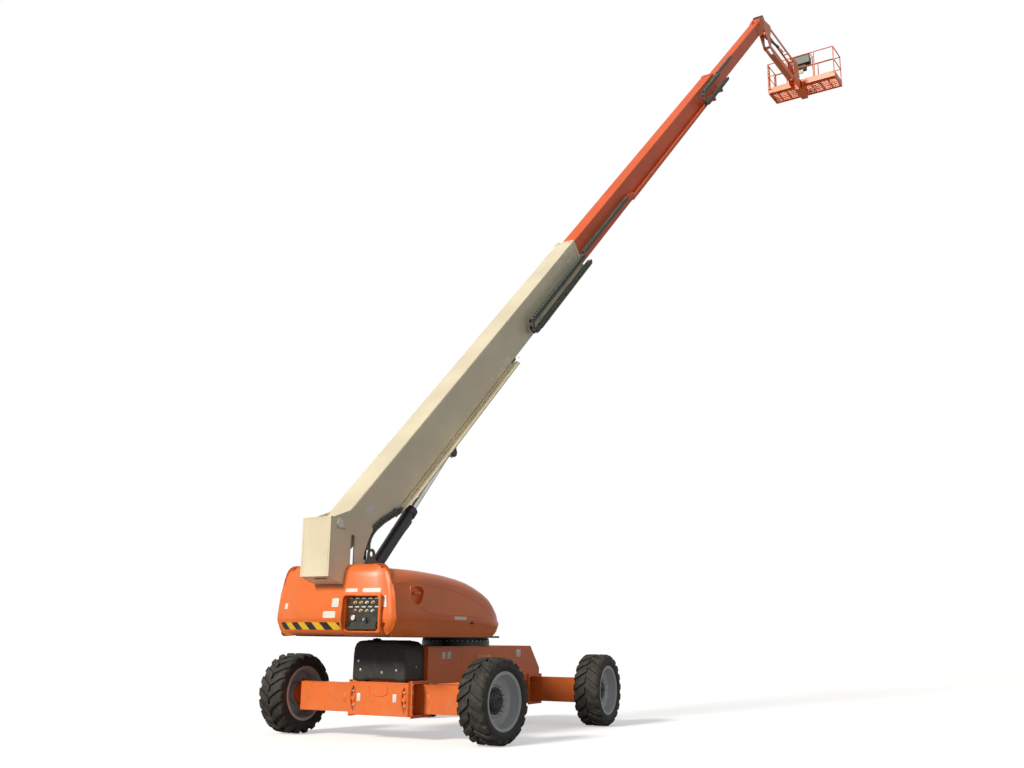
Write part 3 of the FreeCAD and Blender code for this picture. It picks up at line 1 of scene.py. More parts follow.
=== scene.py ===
"""Looks of a telescopic boom lift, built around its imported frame.  Metres, in the machine's own frame."""
import json
import math

import bpy
from mathutils import Matrix, Vector


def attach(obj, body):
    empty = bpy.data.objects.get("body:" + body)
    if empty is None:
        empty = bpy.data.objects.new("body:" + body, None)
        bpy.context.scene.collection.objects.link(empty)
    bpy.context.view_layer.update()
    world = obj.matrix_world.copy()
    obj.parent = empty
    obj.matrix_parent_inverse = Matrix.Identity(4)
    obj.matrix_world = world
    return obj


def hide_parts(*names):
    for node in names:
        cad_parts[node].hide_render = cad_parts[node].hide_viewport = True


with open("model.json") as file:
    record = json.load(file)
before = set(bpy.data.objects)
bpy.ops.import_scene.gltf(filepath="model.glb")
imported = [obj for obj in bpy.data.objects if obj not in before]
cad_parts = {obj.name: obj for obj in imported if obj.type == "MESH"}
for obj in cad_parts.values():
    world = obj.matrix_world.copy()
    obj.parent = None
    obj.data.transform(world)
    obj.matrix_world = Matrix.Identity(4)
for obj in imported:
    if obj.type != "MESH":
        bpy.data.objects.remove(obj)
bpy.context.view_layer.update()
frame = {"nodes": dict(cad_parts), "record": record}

# ---------------------------------------------------------------- places on the machine
SLEW = math.radians(-7.0)
LIFT = math.radians(44.1)
PIVOT = (-3.15, 0.0, 2.93)
GROUND = Matrix.Identity(4)
TURN = Matrix.Rotation(SLEW, 4, "Z")
BOOM = TURN @ Matrix.Translation(PIVOT) @ Matrix.Rotation(-LIFT, 4, "Y")
MIRROR = Matrix.Scale(-1, 4, (0, 1, 0))
UP = (0, 0, 1)
WHEELBASE, TRACK, TYRE_R, KINGPIN_OFF = 3.81, 3.365, 0.5775, 0.18
STEER = {"rl": -4.6, "rr": -8.6, "fl": 0.0, "fr": 0.0}
SIDES = (1, -1)

# The axes that the pieces of a body are drawn in, where they aren't the ground's.
AXES = {"base_boom": BOOM, "mid_boom": BOOM, "fly_boom": BOOM}
for turned in ("turntable", "hood_left_body", "hood_right_body", "jib_lower", "jib_upper", "jib_front",
               "platform", "gate"):
    AXES[turned] = TURN

SLOTS = {part["material_slot"]: part["material_slot"] for part in frame["record"]["subparts"]}
SLOTS["boom_orange_in_shade"] = "orange_paint"


def wheel_axes(tag):
    """X of an axle, and +1 on the left or -1 on the right, for a wheel's two letters."""
    return (-1 if tag[0] == "r" else 1) * WHEELBASE / 2, 1 if tag[1] == "l" else -1


def wheel_place(tag):
    """Where a wheel drawn on the Y axis, face towards -Y, stands on the machine."""
    x, side = wheel_axes(tag)
    kingpin = Vector((x, side * (TRACK / 2 - KINGPIN_OFF), 0))
    turn = Matrix.Rotation(math.radians(STEER[tag]), 4, "Z")
    flip = Matrix.Rotation(math.pi if side > 0 else 0, 4, "Z")
    centre = Matrix.Translation((x, side * TRACK / 2, TYRE_R))
    return Matrix.Translation(kingpin) @ turn @ Matrix.Translation(-kingpin) @ centre @ flip


def span(node, place=TURN):
    """Lowest and highest corners of a frame node, measured along the axes of a place."""
    back = place.inverted()
    points = [back @ v.co for v in frame["nodes"][node].data.vertices]
    return [Vector([pick(p[i] for p in points) for i in range(3)]) for pick in (min, max)]


def around(count, start=0.0):
    """Angles in even steps round a full turn."""
    return [(i + start) * math.tau / count for i in range(count)]


# ---------------------------------------------------------------- finishes
class Wire:
    """A shader socket that adds its Math nodes when it is used in a sum."""

    def __init__(self, tree, socket):
        self.tree = tree
        self.socket = socket

    def work(self, operation, first, second=None):
        node = self.tree.nodes.new("ShaderNodeMath")
        node.operation = operation
        for slot, value in zip(node.inputs, (first, second)):
            feed(self.tree, slot, value)
        return Wire(self.tree, node.outputs[0])

    def __add__(self, other):
        return self.work("ADD", self, other)

    def __sub__(self, other):
        return self.work("SUBTRACT", self, other)

    def __rsub__(self, other):
        return self.work("SUBTRACT", other, self)

    def __mul__(self, other):
        return self.work("MULTIPLY", self, other)

    def __truediv__(self, other):
        return self.work("DIVIDE", self, other)

    def over(self, level):
        return self.work("GREATER_THAN", self, level)

    def highest(self, other):
        return self.work("MAXIMUM", self, other)

    def saw(self, pitch):
        return self.work("FRACT", self / pitch)

    __radd__ = __add__


def feed(tree, slot, value):
    """Puts a number, a colour or another wire into a socket."""
    if isinstance(value, Wire):
        tree.links.new(value.socket, slot)
    elif value is not None:
        slot.default_value = value


def colour4(value):
    return value if isinstance(value, Wire) else (*value, 1.0)


class Finish:
    """A material whose look is written as sums of wires."""

    def __init__(self, name):
        self.material = bpy.data.materials.new(name)
        self.material.use_nodes = True
        self.tree = self.material.node_tree
        self.shader = self.tree.nodes["Principled BSDF"]
        self.here = self.node("ShaderNodeTexCoord", out="Object")

    def node(self, kind, settings=None, out=0, **inputs):
        """Adds a node; an input is given by its name, or as i0, i1 and so on by its number."""
        made = self.tree.nodes.new(kind)
        for key, value in (settings or {}).items():
            setattr(made, key, value)
        for key, value in inputs.items():
            feed(self.tree, made.inputs[int(key[1:]) if key[1:].isdigit() else key], value)
        return Wire(self.tree, made.outputs[out])

    def moved(self, shift=(0, 0, 0), turn=(0, 0, 0), scale=(1, 1, 1)):
        return self.node("ShaderNodeMapping", Vector=self.here, Location=shift, Rotation=turn, Scale=scale)

    def noise(self, scale, detail=3.0, rough=0.55, at=None):
        return self.node("ShaderNodeTexNoise", Vector=at or self.here, Scale=scale, Detail=detail,
                         Roughness=rough)

    def along(self, axis, at=None):
        return self.node("ShaderNodeSeparateXYZ", out="XYZ".index(axis), Vector=at or self.here)

    def fade(self, wire, low, high):
        """0 below low, 1 above high, smooth between."""
        return self.node("ShaderNodeMapRange", {"interpolation_type": "SMOOTHSTEP"}, i0=wire, i1=low,
                         i2=high)

    def mix(self, share, first, second):
        return self.node("ShaderNodeMix", {"data_type": "RGBA"}, out=2, i0=share, i6=colour4(first),
                         i7=colour4(second))

    def bump(self, height, strength=0.3, depth=0.002):
        return self.node("ShaderNodeBump", Height=height, Strength=strength, Distance=depth)

    def done(self, **inputs):
        for key, value in inputs.items():
            slot = self.shader.inputs[key.replace("_", " ")]
            feed(self.tree, slot, colour4(value) if key == "Base_Color" else value)
        return self.material


DUST = (0.42, 0.33, 0.24)
PRIMER = (0.10, 0.075, 0.06)
ORANGE = (0.86, 0.172, 0.020)
# Darker, redder copy of ORANGE for the boom sections: the same orange paint with painted shade mixed into its
# colour.
BOOM_ORANGE_IN_SHADE = (0.78, 0.112, 0.014)
CREAM = (0.84, 0.74, 0.53)
SHADE_GREY = (0.115, 0.115, 0.100)


def painted(name, colour, rough=0.38, dust=0.25, chips=0.3, coat=0.12, dust_height=1.1, streaks=0.16):
    """Sprayed steel: faded in clouds, dusty near the ground, streaked by rain and chipped in places."""
    f = Finish(name)
    clouds = f.noise(1.3, 4)
    spray = f.noise(260, 2)
    deep = tuple(c * 0.90 for c in colour)
    pale = tuple(min(1, c * 1.04 + 0.003) for c in colour)
    base = f.mix(f.fade(clouds, 0.3, 0.7), deep, pale)
    runs = f.fade(f.noise(5, 5, 0.6, f.moved(scale=(2.2, 2.2, 0.22))), 0.52, 0.78) * streaks
    near_ground = 1 - f.fade(f.along("Z"), 0.15, dust_height)
    specks = f.fade(f.noise(14, 7, 0.68), 0.42, 0.70)
    dirty = (near_ground * specks * dust * 1.9 + specks * dust * 0.16).highest(runs * 0.6)
    base = f.mix(dirty, base, tuple(0.55 * c + 0.45 * d for c, d in zip(colour, DUST)))
    patch = f.fade(f.noise(3.1, 2), 0.55, 0.66)
    nick = f.fade(f.noise(46, 5, 0.6), 0.655, 0.675) * patch * chips
    base = f.mix(nick, base, PRIMER)
    return f.done(Base_Color=base, Roughness=rough + dirty * 0.4 + nick * 0.3,
                  Coat_Weight=(1 - dirty) * coat,
                  Coat_Roughness=0.2, Normal=f.bump(spray * 0.35 - nick * 2.0, 0.22, 0.0012))


def moulded(name, colour, rough=0.55, grain=420, dust=0.3):
    """Plastic with a fine leather-like grain and dust lying in it."""
    f = Finish(name)
    grit = f.noise(grain, 3)
    clouds = f.fade(f.noise(2.2, 5), 0.35, 0.75)
    dusty = clouds * dust * f.fade(f.noise(9, 6, 0.65), 0.4, 0.7)
    base = f.mix(dusty, colour, DUST)
    return f.done(Base_Color=base, Roughness=rough + grit * 0.12 + dusty * 0.2,
                  Normal=f.bump(grit, 0.3, 0.0008))


def bare_metal(name, colour, rough=0.3, scratch=(60, 60, 2)):
    """Plated or bare metal with fine drawn lines and dull stains."""
    f = Finish(name)
    lines = f.noise(9, 4, 0.6, f.moved(scale=scratch))
    stain = f.fade(f.noise(3.5, 6, 0.62), 0.46, 0.72)
    base = f.mix(stain * 0.5, colour, tuple(c * 0.55 for c in colour))
    return f.done(Base_Color=base, Metallic=1.0, Roughness=rough + lines * 0.15 + stain * 0.15,
                  Normal=f.bump(lines, 0.12, 0.0006))


def rubber(name, place):
    """Tyre rubber: black in the grooves, dry and dusty on the lugs and the lower wall."""
    f = Finish(name)
    at = f.moved(shift=-(place @ Vector((0, 0, 0))))
    radius = f.node("ShaderNodeVectorMath", {"operation": "LENGTH"}, out=1, i0=at)
    grit = f.noise(70, 6, 0.7)
    clods = f.fade(f.noise(11, 6, 0.7), 0.43, 0.68)
    tread = f.fade(radius, 0.50, 0.60)
    soil = clods * (0.25 + tread * 0.55)
    base = f.mix(soil, (0.020, 0.019, 0.017), (0.100, 0.085, 0.062))
    base = f.mix(f.fade(f.noise(4, 3), 0.5, 0.8) * 0.4, base, (0.042, 0.040, 0.035))
    return f.done(Base_Color=base, Roughness=0.68 + soil * 0.25,
                  Normal=f.bump(grit * 0.6 + clods * 0.8, 0.35, 0.0025))


def hazard(name, pitch=0.30):
    """Black and yellow stripes that run round the tail at a slant."""
    f = Finish(name)
    at = f.moved(turn=(0, 0, -SLEW))
    stripe = (f.along("Y", at) - f.along("Z", at)).saw(pitch).over(0.5)
    scuff = f.fade(f.noise(24, 6, 0.65), 0.60, 0.66) * 0.6
    base = f.mix(stripe, (0.86, 0.50, 0.03), (0.025, 0.025, 0.025))
    base = f.mix(scuff * f.fade(f.noise(4, 3), 0.5, 0.6), base, (0.30, 0.16, 0.08))
    return f.done(Base_Color=base, Roughness=0.42 + scuff * 0.3,
                  Normal=f.bump(f.noise(180, 2), 0.15, 0.0006))


finishes = {
    "orange_paint": painted("orange_enamel", ORANGE, dust=0.35),
    # Boom sections: the orange enamel made darker, with painted shade in its colour.
    "boom_orange_in_shade": painted("boom_enamel_in_shade", BOOM_ORANGE_IN_SHADE, rough=0.5, dust=0.06, coat=0.0),
    "cream_paint": painted("cream_enamel", CREAM, dust=0.08, streaks=0.12, chips=0.25),
    "counterweight_paint": painted("casting_orange", ORANGE, rough=0.34, dust=0.12, chips=0.4, coat=0.2),
    "black_steel": painted("black_enamel", (0.03, 0.03, 0.032), rough=0.4, dust=0.2, chips=0.1),
    "grey_rim": painted("rim_grey", (0.52, 0.54, 0.55), rough=0.42, dust=0.35, coat=0.1),
    "hood_plastic": painted("hood_orange", ORANGE, rough=0.30, dust=0.10, chips=0.1, coat=0.25),
    "black_plastic": moulded("black_moulding", (0.030, 0.029, 0.025), dust=0.12),
    "chain_plastic": moulded("chain_moulding", (0.135, 0.155, 0.125), rough=0.6, grain=300, dust=0.3),
    "chrome_rod": bare_metal("chromed_rod", (0.78, 0.78, 0.78), rough=0.08),
    "engine_metal": painted("engine_paint", (0.09, 0.09, 0.10), rough=0.5),
    "platform_steel": painted("platform_orange", ORANGE, dust=0.12, chips=0.5),
    "platform_floor_alu": bare_metal("floor_aluminium", (0.62, 0.62, 0.61), rough=0.38,
                                     scratch=(30, 30, 30)),
    "console_grey": moulded("console_moulding", (0.20, 0.215, 0.21), rough=0.5, dust=0.15),
    "pale_moulding": moulded("pale_moulding", (0.62, 0.58, 0.48), rough=0.5, dust=0.2),
    "lug_grey": painted("lug_grey", SHADE_GREY, rough=0.5),
    "zinc": bare_metal("zinc_plate", (0.55, 0.54, 0.50), rough=0.34),
    "white_plate": moulded("blank_plate_film", (0.80, 0.79, 0.74), rough=0.35, dust=0.2),
    "red_knob": moulded("red_knob", (0.55, 0.03, 0.02), rough=0.35),
    "yellow_knob": moulded("amber_knob", (0.80, 0.42, 0.03), rough=0.35),
    "white_knob": moulded("white_knob", (0.78, 0.77, 0.72), rough=0.3),
    "hose_rubber": moulded("hose_rubber", (0.02, 0.02, 0.02), rough=0.5, grain=600, dust=0.3),
    "hazard": hazard("hazard_stripes"),
}
WHEELS = ("rl", "rr", "fl", "fr")
for tag in WHEELS:
    finishes["tyre_" + tag] = rubber("tyre_rubber_" + tag, wheel_place(tag))

OWN_FINISH = {"lift_barrel": "black_steel", "turntable_deck": "black_steel", "lifting_lugs": "lug_grey",
              "platform_floor": "platform_steel", "boom_mid": "boom_orange_in_shade", "boom_fly": "boom_orange_in_shade",
              "boom_nose": "boom_orange_in_shade"}
for part in frame["record"]["subparts"]:
    node, slot = part["node"], part["material_slot"]
    worn = OWN_FINISH.get(node, node if slot == "tyre" else slot)
    skin = frame["nodes"][node].data.materials
    skin.clear()
    skin.append(finishes[worn])


# ---------------------------------------------------------------- stage, light and camera
FLOOR_LEVEL, FLOOR_WIDTH, FLOOR_GLOW = -0.002, 400, 0.45
FLOOR_LIT, FLOOR_SEEN = (0.40, 0.39, 0.38), (0.88, 0.875, 0.87)
SKY, SKY_SEEN = ((0.88, 0.93, 1.0, 1), 0.20), ((1, 1, 1, 1), 1.0)
GLOSS_SHARE = 0.55
# Name, where it stands, power, angle in degrees, tint.
LAMPS = (("key", (-0.86, 0.22, 0.50), 3.1, 12, (1.0, 0.955, 0.87)),
         ("fill", (-0.35, -0.85, 0.35), 0.28, 60, (0.92, 0.96, 1.0)))
EYE = (-15.232, -8.494, 1.444)
EYE_YAW, EYE_PITCH, EYE_ROLL = math.radians(26.32), math.radians(13.442), math.radians(0.6225)
LENS = 37.02


def pale_floor():
    """A wide pale floor that shows white behind the machine and lights it only softly."""
    bpy.ops.mesh.primitive_plane_add(size=FLOOR_WIDTH, location=(0, 0, FLOOR_LEVEL))
    floor = bpy.context.object
    floor.name = "studio_floor"
    f = Finish("pale_floor")
    ray = f.node("ShaderNodeLightPath", out="Is Camera Ray")
    tone = f.mix(ray, FLOOR_LIT, FLOOR_SEEN)
    f.done(Base_Color=tone, Roughness=0.95, Specular_IOR_Level=0.0)
    glow = f.node("ShaderNodeEmission", Color=(1, 1, 1, 1), Strength=ray * FLOOR_GLOW)
    both = f.node("ShaderNodeAddShader", i0=Wire(f.tree, f.shader.outputs[0]), i1=glow)
    feed(f.tree, f.tree.nodes["Material Output"].inputs[0], both)
    floor.data.materials.append(f.material)


def hung(name, data, place):
    """Puts a lamp or a camera in the scene."""
    holder = bpy.data.objects.new(name, data)
    holder.matrix_world = place
    bpy.context.scene.collection.objects.link(holder)
    return holder


def studio_light():
    """A pale world that shows in gloss, a low warm key from behind on the left, and a soft fill."""
    world = bpy.data.worlds.new("studio")
    bpy.context.scene.world = world
    world.use_nodes = True
    tree = world.node_tree
    tree.nodes.clear()
    path = tree.nodes.new("ShaderNodeLightPath")
    gloss = Wire(tree, path.outputs["Is Glossy Ray"]) * GLOSS_SHARE
    seen = Wire(tree, path.outputs["Is Camera Ray"]).highest(gloss)
    blend = tree.nodes.new("ShaderNodeMixShader")
    feed(tree, blend.inputs[0], seen)
    for socket, (tint, strength) in ((1, SKY), (2, SKY_SEEN)):
        node = tree.nodes.new("ShaderNodeBackground")
        node.inputs["Color"].default_value = tint
        node.inputs["Strength"].default_value = strength
        tree.links.new(node.outputs[0], blend.inputs[socket])
    tree.links.new(blend.outputs[0], tree.nodes.new("ShaderNodeOutputWorld").inputs[0])
    for name, towards, power, soft, tint in LAMPS:
        lamp = bpy.data.lights.new(name, "SUN")
        lamp.energy = power
        lamp.angle = math.radians(soft)
        lamp.color = tint
        hung(name, lamp, Vector(towards).to_track_quat("Z", "Y").to_matrix().to_4x4())


def camera():
    """Low on the right behind the tail, looking forward and up along the boom."""
    flat = math.cos(EYE_PITCH)
    ahead = Vector((flat * math.cos(EYE_YAW), flat * math.sin(EYE_YAW), math.sin(EYE_PITCH)))
    level = Vector((math.sin(EYE_YAW), -math.cos(EYE_YAW), 0))
    right = math.cos(EYE_ROLL) * level + math.sin(EYE_ROLL) * level.cross(ahead)
    up = right.cross(ahead)
    data = bpy.data.cameras.new("view")
    data.sensor_width = 36.0
    data.lens = LENS
    data.clip_end = 500
    turn = Matrix((right, up, -ahead)).transposed().to_4x4()
    bpy.context.scene.camera = hung("view", data, Matrix.Translation(EYE) @ turn)


# ---------------------------------------------------------------- ways of shaping
def all_on():
    bpy.ops.mesh.select_all(action="SELECT")


def all_off():
    bpy.ops.mesh.select_all(action="DESELECT")


def outward():
    bpy.ops.mesh.remove_doubles(threshold=0.00002)
    bpy.ops.mesh.normals_make_consistent(inside=False)


def fresh():
    """The primitive that was just added, alone and with its place in its mesh."""
    bpy.ops.object.transform_apply(location=True, rotation=True, scale=True)
    return bpy.context.object


def alone(piece):
    bpy.ops.object.select_all(action="DESELECT")
    piece.select_set(True)
    bpy.context.view_layer.objects.active = piece


def in_edit(piece, *steps):
    """Runs edit-mode steps on all of a piece."""
    alone(piece)
    bpy.ops.object.mode_set(mode="EDIT")
    all_on()
    for step in steps:
        step()
    bpy.ops.object.mode_set(mode="OBJECT")
    return piece


def finish_with(piece, kind, **settings):
    """Adds a modifier, sets it and applies it."""
    alone(piece)
    modifier = piece.modifiers.new("work", kind)
    for key, value in settings.items():
        setattr(modifier, key, value)
    bpy.ops.object.modifier_apply(modifier=modifier.name)
    return piece


def soften(piece, width, segments=2, angle=32):
    return finish_with(piece, "BEVEL", width=width, segments=segments, limit_method="ANGLE",
                       angle_limit=math.radians(angle), use_clamp_overlap=True)


def block(low, high, edge=0.004, segments=2):
    """A bevelled block between two corners."""
    bpy.ops.object.select_all(action="DESELECT")
    size = [max(b - a, 0.001) for a, b in zip(low, high)]
    bpy.ops.mesh.primitive_cube_add(size=1, location=[(a + b) / 2 for a, b in zip(low, high)], scale=size)
    piece = fresh()
    return soften(piece, min(edge, min(size) * 0.45), segments) if edge else piece


def flanks(x, y, z, thick, edge):
    """The same strip on both flanks: x and z hold its ends, y is its distance from the middle."""
    return [block((x[0], s * y - thick, z[0]), (x[1], s * y + thick, z[1]), edge) for s in SIDES]


def bar(start, end, radius, sides=20, edge=0.003, tip=None):
    """A round bar with rounded ends between two points."""
    start, end = Vector(start), Vector(end)
    axis = end - start
    bpy.ops.object.select_all(action="DESELECT")
    bpy.ops.mesh.primitive_cone_add(vertices=sides, radius1=radius, radius2=tip or radius,
                                    depth=axis.length, location=(start + end) / 2, rotation=axis.to_track_quat("Z",
                                                                                            "Y").to_euler())
    piece = fresh()
    return soften(piece, min(edge, radius * 0.4, axis.length * 0.4), 2, 50) if edge else piece


def drawn(points, filled=True):
    """A loop of edges, filled or open, whose corners are pulled to the given points."""
    bpy.ops.object.select_all(action="DESELECT")
    bpy.ops.mesh.primitive_circle_add(vertices=len(points), fill_type="NGON" if filled else "NOTHING")
    piece = fresh()
    for corner, point in zip(piece.data.vertices, points):
        corner.co = point
    return piece


def slab(outline, near, far, axis="Y", edge=0.003, segments=2):
    """A plate cut to an outline and thickened along an axis."""
    at = "XYZ".index(axis)
    piece = drawn([(*point[:at], near, *point[at:]) for point in outline])
    push = [far - near if i == at else 0 for i in range(3)]
    in_edit(piece, lambda: bpy.ops.mesh.extrude_region_move(TRANSFORM_OT_translate={"value": push}), all_on,
            outward)
    return soften(piece, edge, segments) if edge else piece


def spun(profile, steps=64, centre=(0, 0, 0), axis=(0, 1, 0), closed=True):
    """A profile of (radius, height) corners spun round an axis through a centre."""
    axis = Vector(axis)
    out = axis.orthogonal().normalized() if abs(axis.z) < 0.9 else Vector((1, 0, 0))
    piece = drawn([Vector(centre) + out * r + axis * h for r, h in profile], filled=False)
    if not closed:
        in_edit(piece, all_off)
        for edge in piece.data.edges:
            edge.select = set(edge.vertices) == {0, len(profile) - 1}
        bpy.ops.object.mode_set(mode="EDIT")
        bpy.ops.mesh.select_mode(type="EDGE")
        bpy.ops.mesh.delete(type="EDGE")
        bpy.ops.mesh.select_mode(type="VERT")
        bpy.ops.object.mode_set(mode="OBJECT")
    return in_edit(piece, lambda: bpy.ops.mesh.spin(steps=steps, angle=math.tau, center=centre, axis=axis),
                   all_on, outward)


def round_wire(radius, height, thick, sides=8):
    """Profile of a ring of round wire."""
    return [(radius + thick * math.cos(t), height + thick * math.sin(t)) for t in around(sides)]


def sheet_of(across, along, shape, wall=0.0):
    """A grid pulled to shape(u, v), u and v from 0 to 1, with a wall behind it if asked."""
    bpy.ops.object.select_all(action="DESELECT")
    bpy.ops.mesh.primitive_grid_add(x_subdivisions=across, y_subdivisions=along, size=2)
    piece = fresh()
    for corner in piece.data.vertices:
        corner.co = shape((corner.co.x + 1) / 2, (corner.co.y + 1) / 2)
    in_edit(piece, outward)
    return finish_with(piece, "SOLIDIFY", thickness=wall, offset=-1) if wall else piece


def pipe(points, radius, sides=4):
    """A hose or bent tube along a smooth line, as a mesh."""
    data = bpy.data.curves.new("pipe", "CURVE")
    data.dimensions = "3D"
    data.bevel_depth = radius
    data.bevel_resolution = sides
    data.use_fill_caps = True
    line = data.splines.new("NURBS")
    line.points.add(len(points) - 1)
    for spot, point in zip(line.points, points):
        spot.co = (*point, 1)
    line.use_endpoint_u = True
    line.order_u = 3
    line.resolution_u = 6
    piece = bpy.data.objects.new("pipe", data)
    bpy.context.scene.collection.objects.link(piece)
    alone(piece)
    bpy.ops.object.convert(target="MESH")
    return fresh()


def copied(piece, move=None):
    """A copy with a mesh of its own."""
    twin = piece.copy()
    twin.data = piece.data.copy()
    bpy.context.scene.collection.objects.link(twin)
    if move is not None:
        twin.data.transform(move)
        if move.determinant() < 0:
            twin.data.flip_normals()
    return twin


def joined(pieces):
    """One piece out of several."""
    alone(pieces[0])
    for piece in pieces[1:]:
        piece.select_set(True)
    if len(pieces) > 1:
        bpy.ops.object.join()
    return pieces[0]


def repeated(piece, moves):
    """One piece out of copies of a small one, one for each move; the first is used up."""
    twins = [copied(piece, move) for move in moves]
    bpy.data.objects.remove(piece)
    return joined(twins)


def carved(piece, *cutters):
    """Cuts other pieces away, and uses them up."""
    for cutter in cutters:
        finish_with(piece, "BOOLEAN", object=cutter, operation="DIFFERENCE", solver="EXACT")
        bpy.data.objects.remove(cutter)
    return piece


def fitted(name, parts, body, finish, smooth=30, place=None, stands_for=()):
    """Joins parts, moves them from their axes to the machine, and gives them a finish and a body."""
    piece = joined(parts) if isinstance(parts, list) else parts
    piece.name = piece.data.name = name
    piece.data.transform(place or AXES.get(body, GROUND))
    alone(piece)
    bpy.ops.object.shade_smooth_by_angle(angle=math.radians(smooth))
    piece.data.materials.clear()
    piece.data.materials.append(finishes[finish])
    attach(piece, body)
    if stands_for:
        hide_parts(*stands_for)
    return piece


def facing(point, direction, spin=0.0):
    """The move that stands something drawn along +Z on a point, along a direction."""
    turn = Vector(direction).to_track_quat("Z", "Y").to_matrix().to_4x4()
    return Matrix.Translation(point) @ turn @ Matrix.Rotation(spin, 4, "Z")


def bolt(radius, height, washer=True):
    """A hexagon bolt head on its washer, standing along +Z at the origin."""
    head = bar((0, 0, 0), (0, 0, height), radius, sides=6, edge=radius * 0.12)
    if not washer:
        return head
    return joined([head, bar((0, 0, 0), (0, 0, height * 0.22), radius * 1.45, sides=18, edge=0)])


def bolts(name, body, radius, height, spots, washer=True, place=None):
    """Zinc-plated bolt heads, one on each (point, direction)."""
    moves = [facing(*spot) for spot in spots]
    return fitted(name, repeated(bolt(radius, height, washer), moves), body, "zinc", place=place)


# ---------------------------------------------------------------- wheels
LUGS = 20
LUG_H = 0.034
LUG_PITCH = math.tau / LUGS
CROWN = TYRE_R - LUG_H
TYRE_HALF = 0.2225
RIM_HALF = 0.86 * TYRE_HALF
DISC_Y = -RIM_HALF + 0.170
HUB_Y = -RIM_HALF + 0.117
OUTBOARD = (0, -1, 0)
RIM_LIP_R, RIM_WELD_R, NUT_CIRCLE_R, HUB_CIRCLE_R = 0.391, 0.325, 0.212, 0.104


def tyre_body():
    wall = [(CROWN + 0.002, 0.0), (CROWN, 0.10), (CROWN - 0.004, 0.165), (CROWN - 0.018, 0.198),
            (CROWN - 0.045, 0.213), (0.462, 0.2175), (0.430, 0.213), (0.406, 0.202), (0.392, 0.186),
            (0.372, 0.176)]
    return spun(wall + [(r, -y) for r, y in reversed(wall[1:])], steps=96)


def tread_bar(side):
    """One slanted lug, drawn as a block and wrapped round the crown and over the shoulder."""
    bpy.ops.object.select_all(action="DESELECT")
    bpy.ops.mesh.primitive_cube_add(size=2)
    lug = in_edit(fresh(), lambda: bpy.ops.mesh.subdivide(number_cuts=4))
    for corner in lug.data.vertices:
        u = (corner.co.x + 1) / 2
        w = (corner.co.z + 1) / 2
        v = corner.co.y * (1.18 - 0.24 * w)
        over = max(0.0, (u - 0.80) / 0.20)
        top = TYRE_R - 0.0035 * u - 0.030 * over ** 2
        sunk = 0.022 + 0.03 * over
        radius = CROWN - sunk + w * (top - CROWN + sunk)
        angle = LUG_PITCH * (0.74 * u ** 0.92 + v * (0.255 + 0.035 * u)) - 0.02 * (1 - u)
        corner.co = (radius * math.sin(angle), side * (0.006 + u * 0.206), -radius * math.cos(angle))
    return soften(in_edit(lug, outward), 0.005, 2, 40)


def bolt_circle(count, radius, y, start=0.0, spin=0.0):
    """Moves for bolts on a circle on the outer face of a wheel."""
    return [facing((radius * math.cos(a), y, radius * math.sin(a)), OUTBOARD, a * spin)
            for a in around(count, start)]


def wheels():
    """Tread, nuts, hub screws, beads and valve: drawn once, and copied to the four wheels."""
    tread = [repeated(tread_bar(side),
                      [Matrix.Rotation(-(i + start) * LUG_PITCH, 4, "Y") for i in range(LUGS)])
             for side, start in ((1, 0.0), (-1, 0.5))]
    nut = joined([bolt(0.0165, 0.024), bar((0, 0, 0), (0, 0, 0.036), 0.009, sides=12)])
    plugs = [facing((x, -RIM_HALF + 0.100, z), OUTBOARD) for x, z in ((0, 0), (0.03, 0.02))]
    screws = [repeated(bolt(0.011, 0.012), bolt_circle(12, HUB_CIRCLE_R, HUB_Y, 0.5)),
              repeated(bolt(0.016, 0.014), plugs)]
    beads = [spun(round_wire(RIM_LIP_R, -RIM_HALF - 0.001, 0.006), steps=72),
             spun(round_wire(RIM_WELD_R, DISC_Y - 0.034, 0.006, 6), steps=72)]
    valve = bar((0, DISC_Y - 0.02, 0.335), (0, DISC_Y - 0.085, 0.352), 0.006, sides=10)
    for name, finish, smooth, piece in (
            ("tyre_shell_", "", 38, joined([tyre_body()] + tread)),
            ("wheel_nuts_", "zinc", 30, repeated(nut, bolt_circle(18, NUT_CIRCLE_R, DISC_Y, spin=1.0))),
            ("hub_screws_", "black_steel", 30, joined(screws)),
            ("rim_beads_", "grey_rim", 30, joined(beads)),
            ("rim_valve_", "hose_rubber", 30, valve)):
        for tag in WHEELS:
            tyre = "tyre_" + tag
            fitted(name + tag, copied(piece), "wheel_" + tag, finish or tyre, smooth=smooth,
                   place=wheel_place(tag), stands_for=() if finish else [tyre])
        bpy.data.objects.remove(piece)


# ---------------------------------------------------------------- tail and hoods
TAIL_R = 3.06
HOOD_REAR, HOOD_NOSE = -2.862, -0.25
TAIL_DEPTH = ((1.42, -0.085), (1.49, -0.010), (1.64, 0.030), (1.985, -0.010), (2.30, -0.055),
              (2.39, -0.080))
TAIL_HALF = ((1.42, 0.952), (1.48, 1.032), (1.64, 1.114), (1.985, 1.065), (2.30, 0.975), (2.39, 0.935))
TAIL_RINGS = ((1.42, -0.022), (1.428, -0.008), (1.445, 0), (1.49, 0), (1.56, 0), (1.625, 0), (1.655, 0),
              (1.75, 0), (1.87, 0), (1.985, 0), (2.10, 0), (2.20, 0), (2.27, -0.004), (2.325, -0.018),
              (2.362, -0.042), (2.383, -0.074), (2.39, -0.115))
CONTROL_X = -2.9445
NOTCH_HALF = 0.268
HAZARD_LOW, HAZARD_TOP = 1.497, 1.597


def between(table, x):
    """Reads a value off a table of (x, value) rows, straight from row to row."""
    if x <= table[0][0]:
        return table[0][1]
    for (x0, v0), (x1, v1) in zip(table, table[1:]):
        if x <= x1:
            return v0 + (v1 - v0) * (x - x0) / (x1 - x0)
    return table[-1][1]


